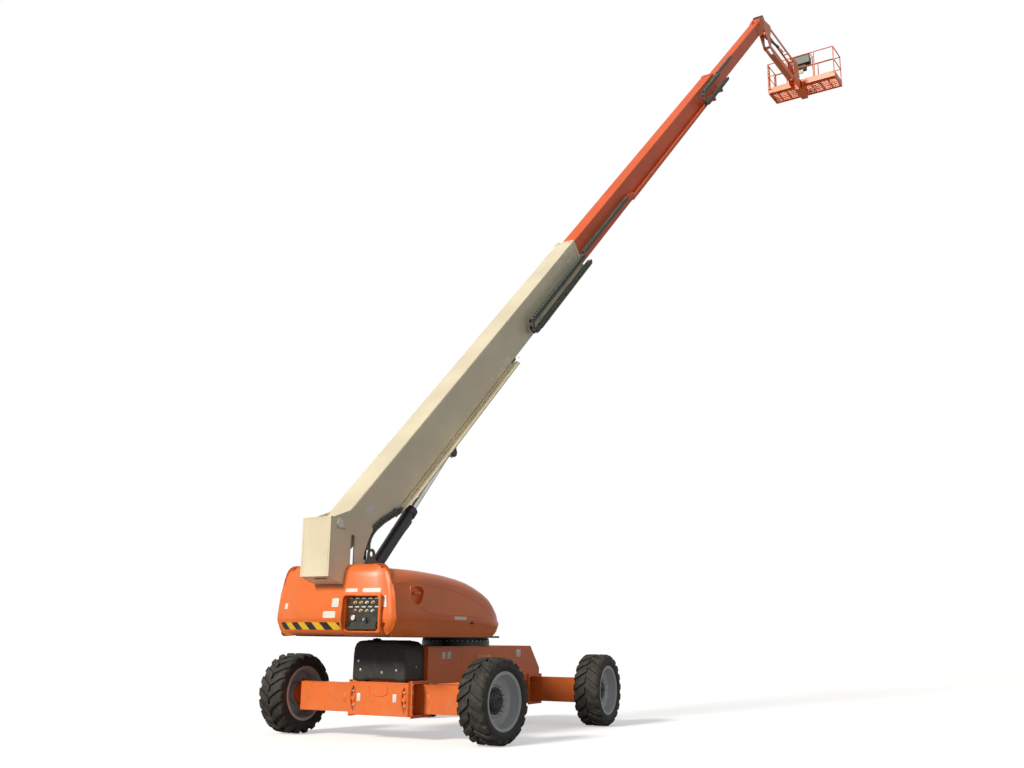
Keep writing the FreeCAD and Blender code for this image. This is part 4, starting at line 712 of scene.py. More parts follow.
def tail_point(y, z, out=0.0):
    """A point on the rear face of the tail at a width and a height."""
    r = TAIL_R + between(TAIL_DEPTH, z) + out
    return Vector((-math.sqrt(r * r - y * y), y, z))


def tail_ring(z, grow, corner=0.13):
    """Plan outline of the tail at a height: front left, round the back, front right."""
    half = between(TAIL_HALF, z) + grow
    front = HOOD_REAR - 0.006
    points = [(front, half)]
    start = tail_point(half - corner, z, grow)
    bend = Vector((start.x, half, z))
    side = Vector((start.x + corner * 0.9, half, z))
    for t in [i / 8 for i in range(9)]:
        p = side.lerp(bend, t).lerp(bend.lerp(start, t), t)
        points.append((min(p.x, front), p.y))
    for y in [(half - corner) * (1 - i / 8) for i in range(1, 16)]:
        points.append((tail_point(y, z, grow).x, y))
    return points + [(x, -y) for x, y in reversed(points[:10])]


def tail():
    """Cast counterweight with rounded shoulders, notched for the tower and the control recess."""
    rings = [tail_ring(z, grow) for z, grow in TAIL_RINGS]
    across, along = len(rings[0]) - 1, len(rings) - 1

    def shape(u, v):
        level = round(v * along)
        return *rings[level][round(u * across)], TAIL_RINGS[level][0]

    shell = in_edit(sheet_of(across, along, shape), all_off, bpy.ops.mesh.select_non_manifold,
                    bpy.ops.mesh.edge_face_add, all_on, bpy.ops.mesh.quads_convert_to_tris, outward)
    pocket = block((-4, -NOTCH_HALF, 2.112), (0, NOTCH_HALF, 3), 0.03, 3)
    foot = block((-2.965, -NOTCH_HALF, 0), (0, NOTCH_HALF, 3), 0.002, 1)
    ramp = slab(((-3.33, 2.199), (-2.964, 2.084), (-2.96, 2.4), (-3.33, 2.4)), -NOTCH_HALF, NOTCH_HALF,
                edge=0)
    recess = block((-3.3, -0.903, 1.475), (-2.905, -0.297, 1.958), 0.05, 4)
    fitted("tail_casting", carved(shell, pocket, foot, ramp, recess), "turntable", "counterweight_paint",
           smooth=34, stands_for=["counterweight"])


def tail_patch(name, y0, y1, z0, z1, finish, corner, columns=None):
    """A thin plate or film that lies on the curved rear face."""
    wide, film = abs(y1 - y0), 0.0016

    def shape(u, v):
        pull = corner * (1 - min(1, min(u, 1 - u) * wide / corner))
        return tail_point(y0 + (y1 - y0) * u, z0 + pull + (z1 - z0 - 2 * pull) * v, film)

    piece = sheet_of(columns or max(2, round(wide / 0.06)), max(2, round(abs(z1 - z0) / 0.03)), shape, film)
    fitted(name, piece, "turntable", finish, smooth=40)


def tail_trim():
    """Hazard bands, blank plates, and the frame, switches, gauge and leads of the control recess."""
    for name, y0, y1 in (("left", 1.0, -0.27), ("right", -0.93, -1.0)):
        tail_patch("hazard_band_" + name, y0, y1, HAZARD_LOW, HAZARD_TOP, "hazard", 0.004, 24)
    for i, place in enumerate(((-0.33, -0.52, 2.00, 2.05), (-0.60, -0.86, 2.00, 2.055),
                               (-0.12, -0.235, 1.80, 1.92), (0.02, -0.20, 1.655, 1.745),
                               (0.90, 0.82, 1.78, 1.86), (-0.915, -1.02, 1.80, 1.96))):
        tail_patch("blank_plate_%d" % i, *place, "white_plate", 0.003)
    ring = block((-3.0, -0.925, 1.455), (-2.95, -0.278, 1.98), 0.05, 4)
    hole = block((-3.2, -0.895, 1.485), (-2.6, -0.308, 1.948), 0.045, 4)
    fitted("recess_frame", carved(ring, hole), "turntable", "counterweight_paint")
    x = CONTROL_X
    for i, finish in enumerate(("yellow_knob", "white_knob", "yellow_knob", "yellow_knob",
                                "white_knob", "yellow_knob", "yellow_knob", "red_knob")):
        y, z = -0.76 + (i % 4) * 0.105, 1.86 - (i // 4) * 0.11
        skirt = bar((x, y, z), (x - 0.008, y, z), 0.026, 24)
        boot = bar((x - 0.008, y, z), (x - 0.022, y, z), 0.019, 20, tip=0.014)
        fitted("switch_base_%d" % i, [skirt, boot], "turntable", "zinc")
        fitted("switch_knob_%d" % i, bar((x - 0.016, y, z), (x - 0.034, y, z), 0.0165, 20, 0.004),
               "turntable", finish)
    for i in range(10):
        y, z = -0.82 + (i % 5) * 0.115, 1.92 - (i // 5) * 0.115
        fitted("legend_%d" % i, block((x - 0.002, y - 0.034, z - 0.008), (x, y + 0.034, z + 0.008), 0.001),
               "turntable", "white_plate")
    ball = spun([(0, 0.023), (0.011, 0.020), (0.019, 0.012), (0.023, 0), (0.019, -0.012), (0.011, -0.020),
                 (0, -0.023)], 24, closed=False)
    fitted("lever_ball", ball, "turntable", "white_knob", smooth=60,
           place=TURN @ Matrix.Translation((-3.006, -0.653, 1.636)))
    gauge = spun([(0, 0), (0.040, 0), (0.040, 0.022), (0.034, 0.026), (0.034, 0.018), (0, 0.018)], 32,
                 axis=(-1, 0, 0), centre=(x, -0.42, 1.66), closed=False)
    fitted("gauge", gauge, "turntable", "zinc")
    fitted("gauge_glass", bar((x - 0.017, -0.42, 1.66), (x - 0.021, -0.42, 1.66), 0.0335, 32, 0),
           "turntable", "white_plate")
    for i, y in enumerate((-0.84, -0.36)):
        lead = [(x, y, 1.60), (x - 0.03, y, 1.60), (x - 0.045, y, 1.56), (x - 0.03, y, 1.50),
                (x - 0.01, y, 1.482)]
        fitted("control_lead_%d" % i, pipe(lead, 0.008), "turntable", "hose_rubber")


HOOD_UPPER = ((-2.87, 2.333), (-2.55, 2.330), (-2.20, 2.3215), (-1.90, 2.306), (-1.62, 2.287),
              (-1.35, 2.256), (-1.11, 2.217), (-0.92, 2.164), (-0.75, 2.108), (-0.585, 2.040),
              (-0.46, 1.962), (-0.375, 1.885), (-0.315, 1.800), (-0.272, 1.720), (HOOD_NOSE, 1.66))
HOOD_LOWER = ((-2.87, 1.417), (-0.80, 1.417), (-0.62, 1.421), (-0.47, 1.438), (-0.36, 1.490),
              (-0.30, 1.545), (HOOD_NOSE, 1.64))
HOOD_STATIONS = 44
HOOD_SIDE_FROM = 13
HOOD_RELIEF = ((-2.80, 2.12), (-2.66, 2.145), (-2.25, 2.14), (-1.85, 2.11), (-1.45, 2.055), (-1.10, 1.98),
               (-0.80, 1.87), (-0.60, 1.76), (-0.50, 1.70), (-0.75, 1.705), (-1.15, 1.715), (-1.60, 1.725),
               (-2.05, 1.735), (-2.20, 1.76), (-2.34, 1.83))
GRIP_RIM = ((-2.55, 2.085), (-2.42, 2.112), (-2.29, 2.096), (-2.238, 2.045), (-2.28, 1.925), (-2.338, 1.85),
            (-2.42, 1.833), (-2.498, 1.87), (-2.556, 1.955))
GRIP_HOLE = ((-2.54, 2.075), (-2.42, 2.10), (-2.30, 2.085), (-2.25, 2.04), (-2.29, 1.93), (-2.345, 1.86),
             (-2.42, 1.845), (-2.49, 1.88), (-2.545, 1.96))


def crease_z(x):
    """Height of the crease along the hood's side."""
    top, low = between(HOOD_UPPER, x), between(HOOD_LOWER, x)
    return low + 0.265 * (top - low)


def hood_section(x):
    """Corners of the hood's section at a station: inner top edge, over the shoulder, down to the lip."""
    top, low = between(HOOD_UPPER, x), between(HOOD_LOWER, x)
    tall = top - low
    near_nose = min(1.0, max(0.0, (x - HOOD_NOSE + 0.55) / 0.55))
    near_tail = max(0.0, (-2.36 - x) / 0.50)
    outer = 1.105 - 0.14 * (1 - math.sqrt(max(0.0, 1 - near_nose ** 2.4))) - 0.055 * near_tail ** 1.6
    reach = min(0.19 + 0.05 * near_tail, tall * 0.42)
    points = [(y, top) for y in (0.36, 0.50, 0.64, 0.78)]
    for a in [math.pi / 2 * i / 9 for i in range(10)]:
        points.append((outer - 0.030 - reach * (1 - math.sin(a)) * 1.1, top - reach * (1 - math.cos(a))))
    crease, shoulder = crease_z(x), top - reach
    points += [(outer - 0.030 * (1 - t), shoulder + (crease - shoulder) * t)
               for t in (0.25, 0.5, 0.75, 1.0)]
    return points + [(outer - 0.004, crease - 0.02 * tall), (outer - 0.016, low + 0.13 * tall),
                     (outer - 0.03, low + 0.03 * tall), (outer - 0.045, low)]


def on_hood(x, z, out=0.0):
    """A point on the hood's side at a station and a height."""
    rows = sorted((row_z, row_y) for row_y, row_z in hood_section(x)[HOOD_SIDE_FROM:])
    return x, between(rows, z) + out, z


def hood_cover():
    """One cover, drawn on the left: skin with a rolled shoulder, a crease, a nose and a sunk grip."""
    last = len(hood_section(HOOD_REAR)) - 1

    def shape(u, v):
        x = HOOD_REAR + (HOOD_NOSE - HOOD_REAR) * math.sin(math.pi / 2 * u) ** 0.9
        return x, *hood_section(x)[round(v * last)]

    return carved(sheet_of(HOOD_STATIONS, last, shape, 0.006), slab(GRIP_HOLE, 1.0, 1.2, edge=0))


def hood_grip():
    """A dish sunk in the cover, with a bar to pull."""
    inner = [(-2.40 + (x + 2.40) * 0.90, 1.97 + (z - 1.97) * 0.90) for x, z in GRIP_RIM]
    dish = carved(slab(GRIP_RIM, 1.02, 1.079, edge=0.002), slab(inner, 1.032, 1.2, edge=0))
    return joined([dish, block((-2.47, 1.062, 1.985), (-2.32, 1.084, 2.02), 0.008, 3)])


def hood_beads():
    """The raised line round the relief and the one along the crease."""
    relief = pipe([on_hood(x, z, -0.001) for x, z in HOOD_RELIEF], 0.0065, 2)
    return joined([relief, pipe([on_hood(x, crease_z(x)) for x in [-2.84 + i * 0.185 for i in range(14)]],
                                0.005, 2)])


def hood_latch():
    return joined([block((-1.16, 1.096, 1.60), (-1.07, 1.112, 1.64), 0.006, 3),
                   bar((-1.115, 1.11, 1.62), (-1.115, 1.118, 1.62), 0.012, 16)])


def hoods():
    """Both hoods: each piece is drawn on the left and mirrored to the right."""
    for name, piece, finish, smooth in (("hood_cover_%s", hood_cover(), "hood_plastic", 40),
                                        ("hood_%s_trim_grip", hood_grip(), "hood_plastic", 30),
                                        ("hood_%s_trim_beads", hood_beads(), "hood_plastic", 60),
                                        ("hood_%s_trim_latch", hood_latch(), "black_steel", 30)):
        for side, twin in (("right", copied(piece, MIRROR)), ("left", piece)):
            fitted(name % side, twin, "hood_%s_body" % side, finish, smooth=smooth,
                   stands_for=["hood_" + side] if smooth == 40 else ())
    for side, plate in zip(("left", "right"), flanks((-1.55, -1.25), 1.1, (1.655, 1.705), 0.004, 0.003)):
        fitted("hood_plate_" + side, plate, "hood_%s_body" % side, "white_plate")


# ---------------------------------------------------------------- energy chains
CHAIN_OUT = (-0.362, -0.288)
CHAIN_IN = (-0.280, -0.2175)
CHAIN_HALF = 0.035
LOOP_HALF = 0.046
LINK = 0.105
BASE_L, MID_FRONT, FLY_FRONT = 9.207, 20.300, 25.970
PIVOT_ROUTE = ((0.285, -0.665), (0.315, -0.625), (0.394, -0.580), (0.49, -0.556), (0.60, -0.555),
               (0.799, -0.588), (1.008, -0.648), (1.235, -0.728))


def link_places(route, pitch):
    """A move for each link, at even steps along a line of (a, v) points, and the true pitch."""
    total = sum(math.dist(p, q) for p, q in zip(route, route[1:]))
    count = max(1, round(total / pitch))
    moves, done, leg = [], 0.0, 0
    for i in range(count):
        target = (i + 0.5) * total / count
        while leg < len(route) - 2 and done + math.dist(route[leg], route[leg + 1]) < target:
            done += math.dist(route[leg], route[leg + 1])
            leg += 1
        (a0, v0), (a1, v1) = route[leg], route[leg + 1]
        t = (target - done) / math.dist(route[leg], route[leg + 1])
        heading = Matrix.Rotation(-math.atan2(v1 - v0, a1 - a0), 4, "Y")
        moves.append(Matrix.Translation((a0 + (a1 - a0) * t, 0, v0 + (v1 - v0) * t)) @ heading)
    return moves, total / count


def chain_link(y0, y1, pitch, half):
    """One link: two cheek plates with round ends that overlap the next, cross bars and pins."""
    outline = []
    for centre, start in ((pitch * 0.5, -90), (-pitch * 0.5, 90)):
        for i in range(7):
            a = math.radians(start + i * 30)
            tall = 0.95 if i in (0, 6) else 0.82
            outline.append((centre + half * 0.78 * math.cos(a), half * tall * math.sin(a)))
    parts = [slab(outline, y, y + 0.006, edge=0) for y in (y0, y1 - 0.006)]
    for x in (-0.18 * pitch, 0.18 * pitch):
        for low, high in ((0.62, 0.86), (-0.86, -0.62)):
            parts.append(block((x - 0.010, y0 + 0.004, half * low), (x + 0.010, y1 - 0.004, half * high),
                               0.003, 1))
    for y in (y0 - 0.0025, y1 - 0.001):
        parts.append(bar((pitch * 0.5, y, 0), (pitch * 0.5, y + 0.0035, 0), half * 0.30, 8, 0))
    return joined(parts)


def chain(name, body, route, across, pitch=LINK, half=CHAIN_HALF, eyes=None, stands_for=()):
    """Links along a route, and a black patch on the outer cheek of each, painted shade that stands for the hole
    through the link.
    """
    moves, step = link_places(route, pitch)
    fitted(name, repeated(chain_link(*across, step, half), moves), body, "chain_plastic",
           stands_for=stands_for)
    # The eyes are black patches on the outer cheeks: painted shade standing for the holes through the links.
    if eyes:
        corners = ((-0.20, -0.30), (0.20, -0.30), (0.28, 0.0), (0.20, 0.30), (-0.20, 0.30), (-0.28, 0.0))
        hole_shade_patch = [(a * step, v * half) for a, v in corners]
        first = slab(hole_shade_patch, across[0] - 0.0008, across[0] + 0.004, edge=0)
        fitted(eyes, repeated(first, moves), body, "black_plastic")


def loop_route(a, low, high, run_low, run_high, steps=10):
    """Lower run, half-round return at the rear and upper run of a chain."""
    r, mid = (high - low) / 2, (high + low) / 2
    turns = [math.pi * i / steps for i in range(steps + 1)]
    return [(run_low, low)] + [(a - r * math.sin(t), mid - r * math.cos(t))
                               for t in turns] + [(run_high, high)]


def chains():
    """Chain loops along the right of the boom, with their carriers, brackets and push bar."""
    route = loop_route(BASE_L - 2.757, -0.600, -0.385, BASE_L + 0.10, BASE_L - 0.08)
    chain("base_chain_links", "base_boom", route, CHAIN_OUT, half=LOOP_HALF, eyes="base_chain_hole_shade",
          stands_for=["base_chain"])
    carriers = [block((BASE_L - 2.62, -0.364, -0.653), (BASE_L + 0.10, -0.285, -0.648), 0)]
    for a in (BASE_L - 0.06, BASE_L - 2.307, BASE_L - 1.007):
        carriers.append(block((a, -0.364, -0.660), (a + 0.05, -0.1975, -0.648), 0.003))
        carriers.append(block((a, -0.215, -0.67), (a + 0.05, -0.1985, -0.56), 0.003))
    fitted("base_chain_carriers", carriers, "base_boom", "cream_paint")
    chain("pivot_chain_links", "base_boom", PIVOT_ROUTE, (-0.233, -0.2035), 0.082, 0.050,
          "pivot_chain_hole_shade", ["pivot_chain"])
    fitted("pivot_chain_tab", block((1.085, -0.2045, -0.69), (1.155, -0.1975, -0.62), 0.002), "base_boom",
           "black_steel")
    chain("mid_chain_lower_links", "mid_boom", [(BASE_L + 0.12, -0.385), (MID_FRONT - 8.18, -0.385)],
          CHAIN_IN)
    route = loop_route(MID_FRONT - 1.54, -0.490, -0.150, MID_FRONT + 0.60, MID_FRONT - 0.06)
    chain("mid_chain_links", "mid_boom", route, CHAIN_OUT, half=LOOP_HALF, eyes="mid_chain_hole_shade",
          stands_for=["mid_chain"])
    rear = MID_FRONT - 7.87
    brackets = [slab(((rear - 0.33, -0.352), (rear - 0.33, -0.42), (rear - 0.20, -0.487),
                      (rear + 0.11, -0.487), (rear + 0.11, -0.42), (rear - 0.1, -0.352)), -0.257, -0.249)]
    for a in (MID_FRONT - 1.0, MID_FRONT - 0.24):
        brackets.append(slab(((a, -0.538), (a + 0.06, -0.538), (a + 0.06, -0.60),
                              (a + 0.03, -0.625), (a, -0.60)), -0.364, -0.157))
    fitted("mid_chain_brackets", brackets, "mid_boom", "boom_orange_in_shade")
    chain("fly_chain_links", "fly_boom", [(MID_FRONT + 0.12, -0.150), (MID_FRONT + 1.65, -0.150)], CHAIN_IN,
          stands_for=["fly_chain"])
    rod = block((MID_FRONT + 1.6, -0.253, -0.166), (FLY_FRONT - 0.13, -0.220, -0.134), 0.004)
    foot = block((FLY_FRONT - 0.23, -0.226, -0.262), (FLY_FRONT - 0.13, -0.1385, -0.134), 0.004)
    fitted("fly_push_bar", [rod, foot], "fly_boom", "boom_orange_in_shade")


# ---------------------------------------------------------------- boom and tower
BOOM_SIDE = 0.1975
TRAY_Y, TRAY_FLOOR = -0.335, -0.752
NOSE_HALF = 0.124
LIFT_PIN = (3.022, -0.930)
LEVEL_PIN = (26.560, -0.300)


def hose_tray():
    """Screws, hoses, clips and shelf of the tray under the base section."""
    bolts("tray_screws", "base_boom", 0.010, 0.008,
          [((1.30 + (0.55 + i * 0.62) * 0.8, -BOOM_SIDE - 0.0125, -0.74), (0, -1, 0)) for i in range(9)])
    fitted("tray_hoses", [pipe([(1.16, y - 0.01, -0.705), (1.20, y, -0.755), (1.40, y, -0.745),
                                (3.4, y, -0.745), (5.40, y, -0.745), (5.58, y, -0.735), (5.64, y, -0.708)],
                                0.010)
                          for y in (-0.185, -0.160, -0.136)], "base_boom", "hose_rubber")
    clips = []
    for a in (2.39, 4.06, 5.47):
        clips.append(slab(((a, -0.700), (a + 0.05, -0.700), (a + 0.05, -0.80),
                           (a + 0.02, -0.812), (a, -0.80)), -0.222, -0.205))
        clips.append(block((a, -0.222, -0.806), (a + 0.05, -0.10, -0.797), 0.002))
    fitted("tray_clips", clips, "base_boom", "cream_paint")
    plan = ((1.06, -0.203), (1.58, TRAY_Y), (5.50, TRAY_Y), (5.60, -0.203))
    shelf = slab(plan, TRAY_FLOOR, TRAY_FLOOR + 0.008, "Z", 0.002)
    lip = block((1.58, TRAY_Y, TRAY_FLOOR), (5.50, TRAY_Y + 0.006, TRAY_FLOOR + 0.024), 0.002)
    end = slab(((1.06, -0.66), (1.27, -0.665), (1.27, -0.748), (1.08, -0.748)), -0.2095, -0.2035)
    fitted("tray_shelf", [shelf, lip, end], "base_boom", "cream_paint")


def section_end(name, front, half, top, low, finish):
    """Pad screws and side doublers at the front end of a boom section."""
    spots = []
    for a in (front - 0.07, front - 0.025):
        spots += [((a, s * half, low + (top - low) * t), (0, s, 0)) for s in SIDES
                  for t in (0.12, 0.32, 0.68, 0.88)]
        for y in (-half * 0.6, half * 0.6):
            spots += [((a, y, top), UP), ((a, y, low), (0, 0, -1))]
    bolts(name + "_pad_screws", name + "_boom", 0.013, 0.005, spots, washer=False)
    plates = flanks((front - 0.62, front - 0.09), half - 0.0125, (top - 0.20, top - 0.06), 0.004, 0.003)
    fitted(name + "_doublers", plates, name + "_boom", finish)


def boom_trim():
    """Tray, pads, doublers, weld seams, blank plates and pin caps of the boom."""
    hose_tray()
    section_end("base", BASE_L, 0.2095, -0.029, -0.707, "cream_paint")
    section_end("mid", MID_FRONT, 0.1655, -0.078, -0.627, "boom_orange_in_shade")
    seams = []
    for a in (3.02, 6.04):
        seams += flanks((a, a + 0.012), BOOM_SIDE, (-0.675, -0.06), 0.0025, 0.002)
    for a, v in ((0.45, -0.069), (1.35, -0.678)):
        seams += flanks((a, BASE_L - 0.1), BOOM_SIDE, (v, v + 0.008), 0.002, 0.0015)
    fitted("base_weld_seams", seams, "base_boom", "cream_paint")
    plates = [block((a, -BOOM_SIDE - 0.002, v - h / 2), (a + w, -BOOM_SIDE + 0.001, v + h / 2), 0.0008)
              for a, v, w, h in ((8.62, -0.30, 0.22, 0.12), (0.62, -0.30, 0.16, 0.10),
                                 (5.2, -0.58, 0.26, 0.07))]
    fitted("base_blank_plates", plates, "base_boom", "white_plate")
    cap = [(0, 0), (0.082, 0), (0.082, 0.008), (0.070, 0.014), (0.058, 0.014), (0.052, 0.008), (0, 0.008)]
    caps = [spun(cap, 40, (LIFT_PIN[0], s * 0.119, LIFT_PIN[1]), (0, s, 0), closed=False) for s in SIDES]
    fitted("lift_pin_caps", caps, "base_boom", "black_steel")


def nose():
    """Fly nose: two cheeks that run round the levelling pin, black end cap, lifting tab and pin heads."""
    half, end = NOSE_HALF, FLY_FRONT
    pin_a, pin_v = LEVEL_PIN
    bends = [math.radians(t) for t in range(80, -100, -20)]
    outline = [(end - 0.37, -0.232), (end - 0.05, -0.186), (end + 0.20, -0.165)]
    outline += [(pin_a + 0.145 * math.cos(t), pin_v + 0.145 * math.sin(t)) for t in bends]
    outline += [(end + 0.30, -0.555), (end - 0.06, -0.640), (end - 0.37, -0.545)]
    parts = [slab(outline, s * half, s * (half + 0.014)) for s in SIDES]
    parts.append(slab(((end, -0.196), (end + 0.20, -0.170), (end + 0.56, -0.170), (end + 0.56, -0.186),
                       (end + 0.20, -0.186), (end, -0.212)), -half, half, edge=0.002))
    parts.append(slab(((end, -0.60), (end + 0.22, -0.555), (end + 0.22, -0.570), (end, -0.615)), -half,
                      half, edge=0.002))
    parts.append(slab(((end - 0.20, -0.192), (end - 0.06, -0.192), (end - 0.075, -0.115),
                       (end - 0.10, -0.100), (end - 0.16, -0.100), (end - 0.185, -0.115)), -0.014, 0.014))
    parts.append(bar((pin_a, -half - 0.026, pin_v), (pin_a, half + 0.026, pin_v), 0.035, 28))
    fitted("nose_cheeks", parts, "fly_boom", "boom_orange_in_shade", stands_for=["boom_nose"])
    cap = block((end + 0.40, -half - 0.018, -0.172), (end + 0.60, half + 0.018, -0.146), 0.008, 3)
    fitted("nose_cap", cap, "fly_boom", "black_plastic")
    ring = [(0.036, 0), (0.070, 0), (0.070, 0.008), (0.060, 0.013), (0.036, 0.013)]
    rings = [spun(ring, 32, (pin_a, s * (half + 0.014), pin_v), (0, s, 0)) for s in SIDES]
    fitted("nose_pin_rings", rings, "fly_boom", "zinc")


def tower_trim():
    """Pin caps, screws, slot edges, seams, hoses and guard of the tower, and black walls across the backs of the
    hoods, painted shade for the dark slot behind them.
    """
    cap = [(0, 0), (0.066, 0), (0.066, 0.008), (0.060, 0.014), (0.022, 0.014), (0.018, 0.008), (0, 0.008)]
    caps = [spun(cap, 40, (PIVOT[0], s * 0.276, PIVOT[2]), (0, s, 0), closed=False) for s in SIDES]
    fitted("pivot_pin_caps", caps + flanks((-3.10, -3.02), 0.268, (2.86, 2.90), 0.006, 0.003), "turntable",
           "zinc")
    spots = []
    for s in SIDES:
        spots += [((x, s * 0.274, 2.88), (0, s, 0)) for x in (-3.085, -3.035)]
        spots += [((-2.70, s * 0.262, z), (0, s, 0)) for z in (1.52, 1.60, 1.68)]
    bolts("keeper_screws", "turntable", 0.010, 0.009, spots)
    loop = ((-2.90, 2.42), (-2.905, 2.30), (-2.905, 2.262), (-2.86, 2.262), (-2.815, 2.262), (-2.815, 2.5),
            (-2.815, 2.765), (-2.83, 2.80), (-2.86, 2.808), (-2.89, 2.80), (-2.905, 2.765), (-2.905, 2.5),
            (-2.902, 2.43))
    fitted("slot_edges", [pipe([(x, s * 0.2625, z) for x, z in loop], 0.006, 2) for s in SIDES],
           "turntable", "cream_paint")
    welds = flanks((-3.324, -3.318), 0.232, (2.22, 3.015), 0.004, 0.002)
    welds.append(block((-3.324, -0.23, 3.0), (-3.318, 0.23, 3.008), 0.002))
    fitted("tower_weld_seams", welds, "turntable", "cream_paint")
    fitted("tower_slit_edge", block((-3.262, -0.172, 2.180), (-3.206, 0.062, 2.192), 0.002), "turntable",
           "black_steel")
    fitted("hose_shelf", block((-2.66, -0.258, 2.30), (-2.44, -0.236, 2.47), 0.006), "turntable",
           "cream_paint")
    hoses = []
    for i, y in enumerate((-0.186, -0.164, -0.142, -0.120)):
        hoses.append(pipe([(-2.62, y, 1.50), (-2.60, y, 1.8), (-2.55 - 0.012 * i, y, 2.00),
                           (-2.50, y, 2.09), (-2.46, y, 2.11), (-2.50, y, 2.05), (-2.54, y, 1.9),
                           (-2.56, y, 1.50)], 0.011))
    fitted("tower_hoses", hoses, "turntable", "hose_rubber")
    guard = slab(((-2.66, 2.26), (-2.66, 2.72), (-2.58, 2.80),
                  (-2.515, 2.74), (-2.53, 2.60), (-2.53, 2.26)), -0.243, -0.238)
    fitted("lead_guard", guard, "turntable", "black_steel")
    lining = flanks((-2.835, -2.822), 0.2745, (2.275, 2.785), 0.0125, 0.004)
    lining.append(block((-2.96, 0.238, 2.28), (-2.77, 0.244, 2.80), 0.002))
    fitted("slot_lining", lining, "turntable", "cream_paint")
    lead = [(-2.66, -0.25, 2.33), (-2.60, -0.272, 2.352), (-2.50, -0.274, 2.345), (-2.42, -0.272, 2.36),
            (-2.36, -0.25, 2.33)]
    fitted("signal_lead", pipe(lead, 0.006), "turntable", "yellow_knob")
    # Black walls across the open backs of the hoods: painted shade for the dark slot behind them.
    wall = slab(hood_section(HOOD_REAR)[4:] + [(0.372, 1.45), (0.372, 2.30)], -2.852, -2.846, "X", 0)
    wall.data.transform(Matrix.Diagonal((1, 0.982, 0.99, 1)))
    fitted("shaded_hood_bulkheads", [wall, copied(wall, MIRROR)], "turntable", "black_steel")


# ---------------------------------------------------------------- axles and chassis
BOX_X = -WHEELBASE / 2 - 0.296
FRAME_SIDE = 0.5
RING_TOP, RING_BOLT_R = 1.353, 0.528
RING_BOLTS, RING_TEETH = 40, 72
COVER_OUTLINE = ((0.452, 0.80), (0.446, 1.16), (0.435, 1.25), (0.405, 1.315), (0.355, 1.348), (0.28, 1.357),
                 (-0.27, 1.357), (-0.355, 1.343), (-0.41, 1.305), (-0.438, 1.245), (-0.450, 1.14),
                 (-0.454, 0.80), (-0.33, 0.787), (-0.27, 0.812), (0.19, 0.812), (0.26, 0.787))


def axle_trim():
    """Flange screws, relief beads and plates of both axle boxes; the front one is the rear one turned."""
    x = BOX_X - 0.001
    for end, turn in (("rear", 0.0), ("front", math.pi)):
        place = Matrix.Rotation(turn, 4, "Z")
        spots = [((at, s * 0.5295, z), (0, s, 0)) for s in SIDES for z in (0.36, 0.46, 0.66, 0.76)
                 for at in (-2.146, -1.664)]
        spots += [((BOX_X + 0.003, s * 0.425, z), (-1, 0, 0)) for s in SIDES for z in (0.655, 0.465)]
        bolts(end + "_flange_screws", "chassis", 0.011, 0.010, spots, place=place)
        arch = ((0.155, 0.735), (0.150, 0.64), (0.10, 0.605), (0.0, 0.60), (-0.10, 0.605), (-0.150, 0.64),
                (-0.155, 0.735))
        beads = [pipe([(x, y, z) for y, z in arch], 0.008, 3)]
        for s in SIDES:
            oval = [k * math.tau / 12 for k in range(13)]
            beads.append(pipe([(x, s * 0.425 + 0.050 * math.cos(t), 0.56 + 0.178 * math.sin(t))
                               for t in oval], 0.005, 2))
        beads += [block((BOX_X - 0.003, -0.48, z), (BOX_X + 0.003, 0.48, z + 0.008), 0.002)
                  for z in (0.345, 0.768)]
        fitted(end + "_axle_beads", beads, "chassis", "orange_paint", smooth=50, place=place)
        plates = [block((BOX_X - 0.0015, y, 0.52), (BOX_X + 0.001, y + 0.06, 0.63), 0.0006)
                  for y in (-0.30, 0.30)]
        fitted(end + "_axle_plates", plates, "chassis", "white_plate", place=place)


def beam_trim(tag):
    """Kingpin caps, run-out stops and weld seams of one axle end."""
    x, side = wheel_axes(tag)
    y = side * (TRACK / 2 - KINGPIN_OFF)
    caps = [bar((x, y, z - up * 0.004), (x, y, z + up * 0.006), 0.044, 28, 0.002)
            for z, up in ((TYRE_R + 0.202, 1), (TYRE_R - 0.202, -1))]
    fitted("kingpin_caps_" + tag, caps, "steer_" + tag, "black_steel")
    near, far = sorted((side * 0.60, side * 1.22))
    stop = side * 0.631
    parts = []
    for wall in (x - side * 0.108 - 0.1005, x - side * 0.108 + 0.1005):
        parts.append(block((wall - 0.003, stop - 0.03, 0.50), (wall + 0.003, stop + 0.03, 0.62), 0.002))
        parts += [block((wall - 0.0025, near, z), (wall + 0.0025, far, z + 0.007), 0.0015)
                  for z in (0.368, 0.745)]
    fitted("beam_seams_" + tag, parts, "beam_" + tag, "orange_paint")


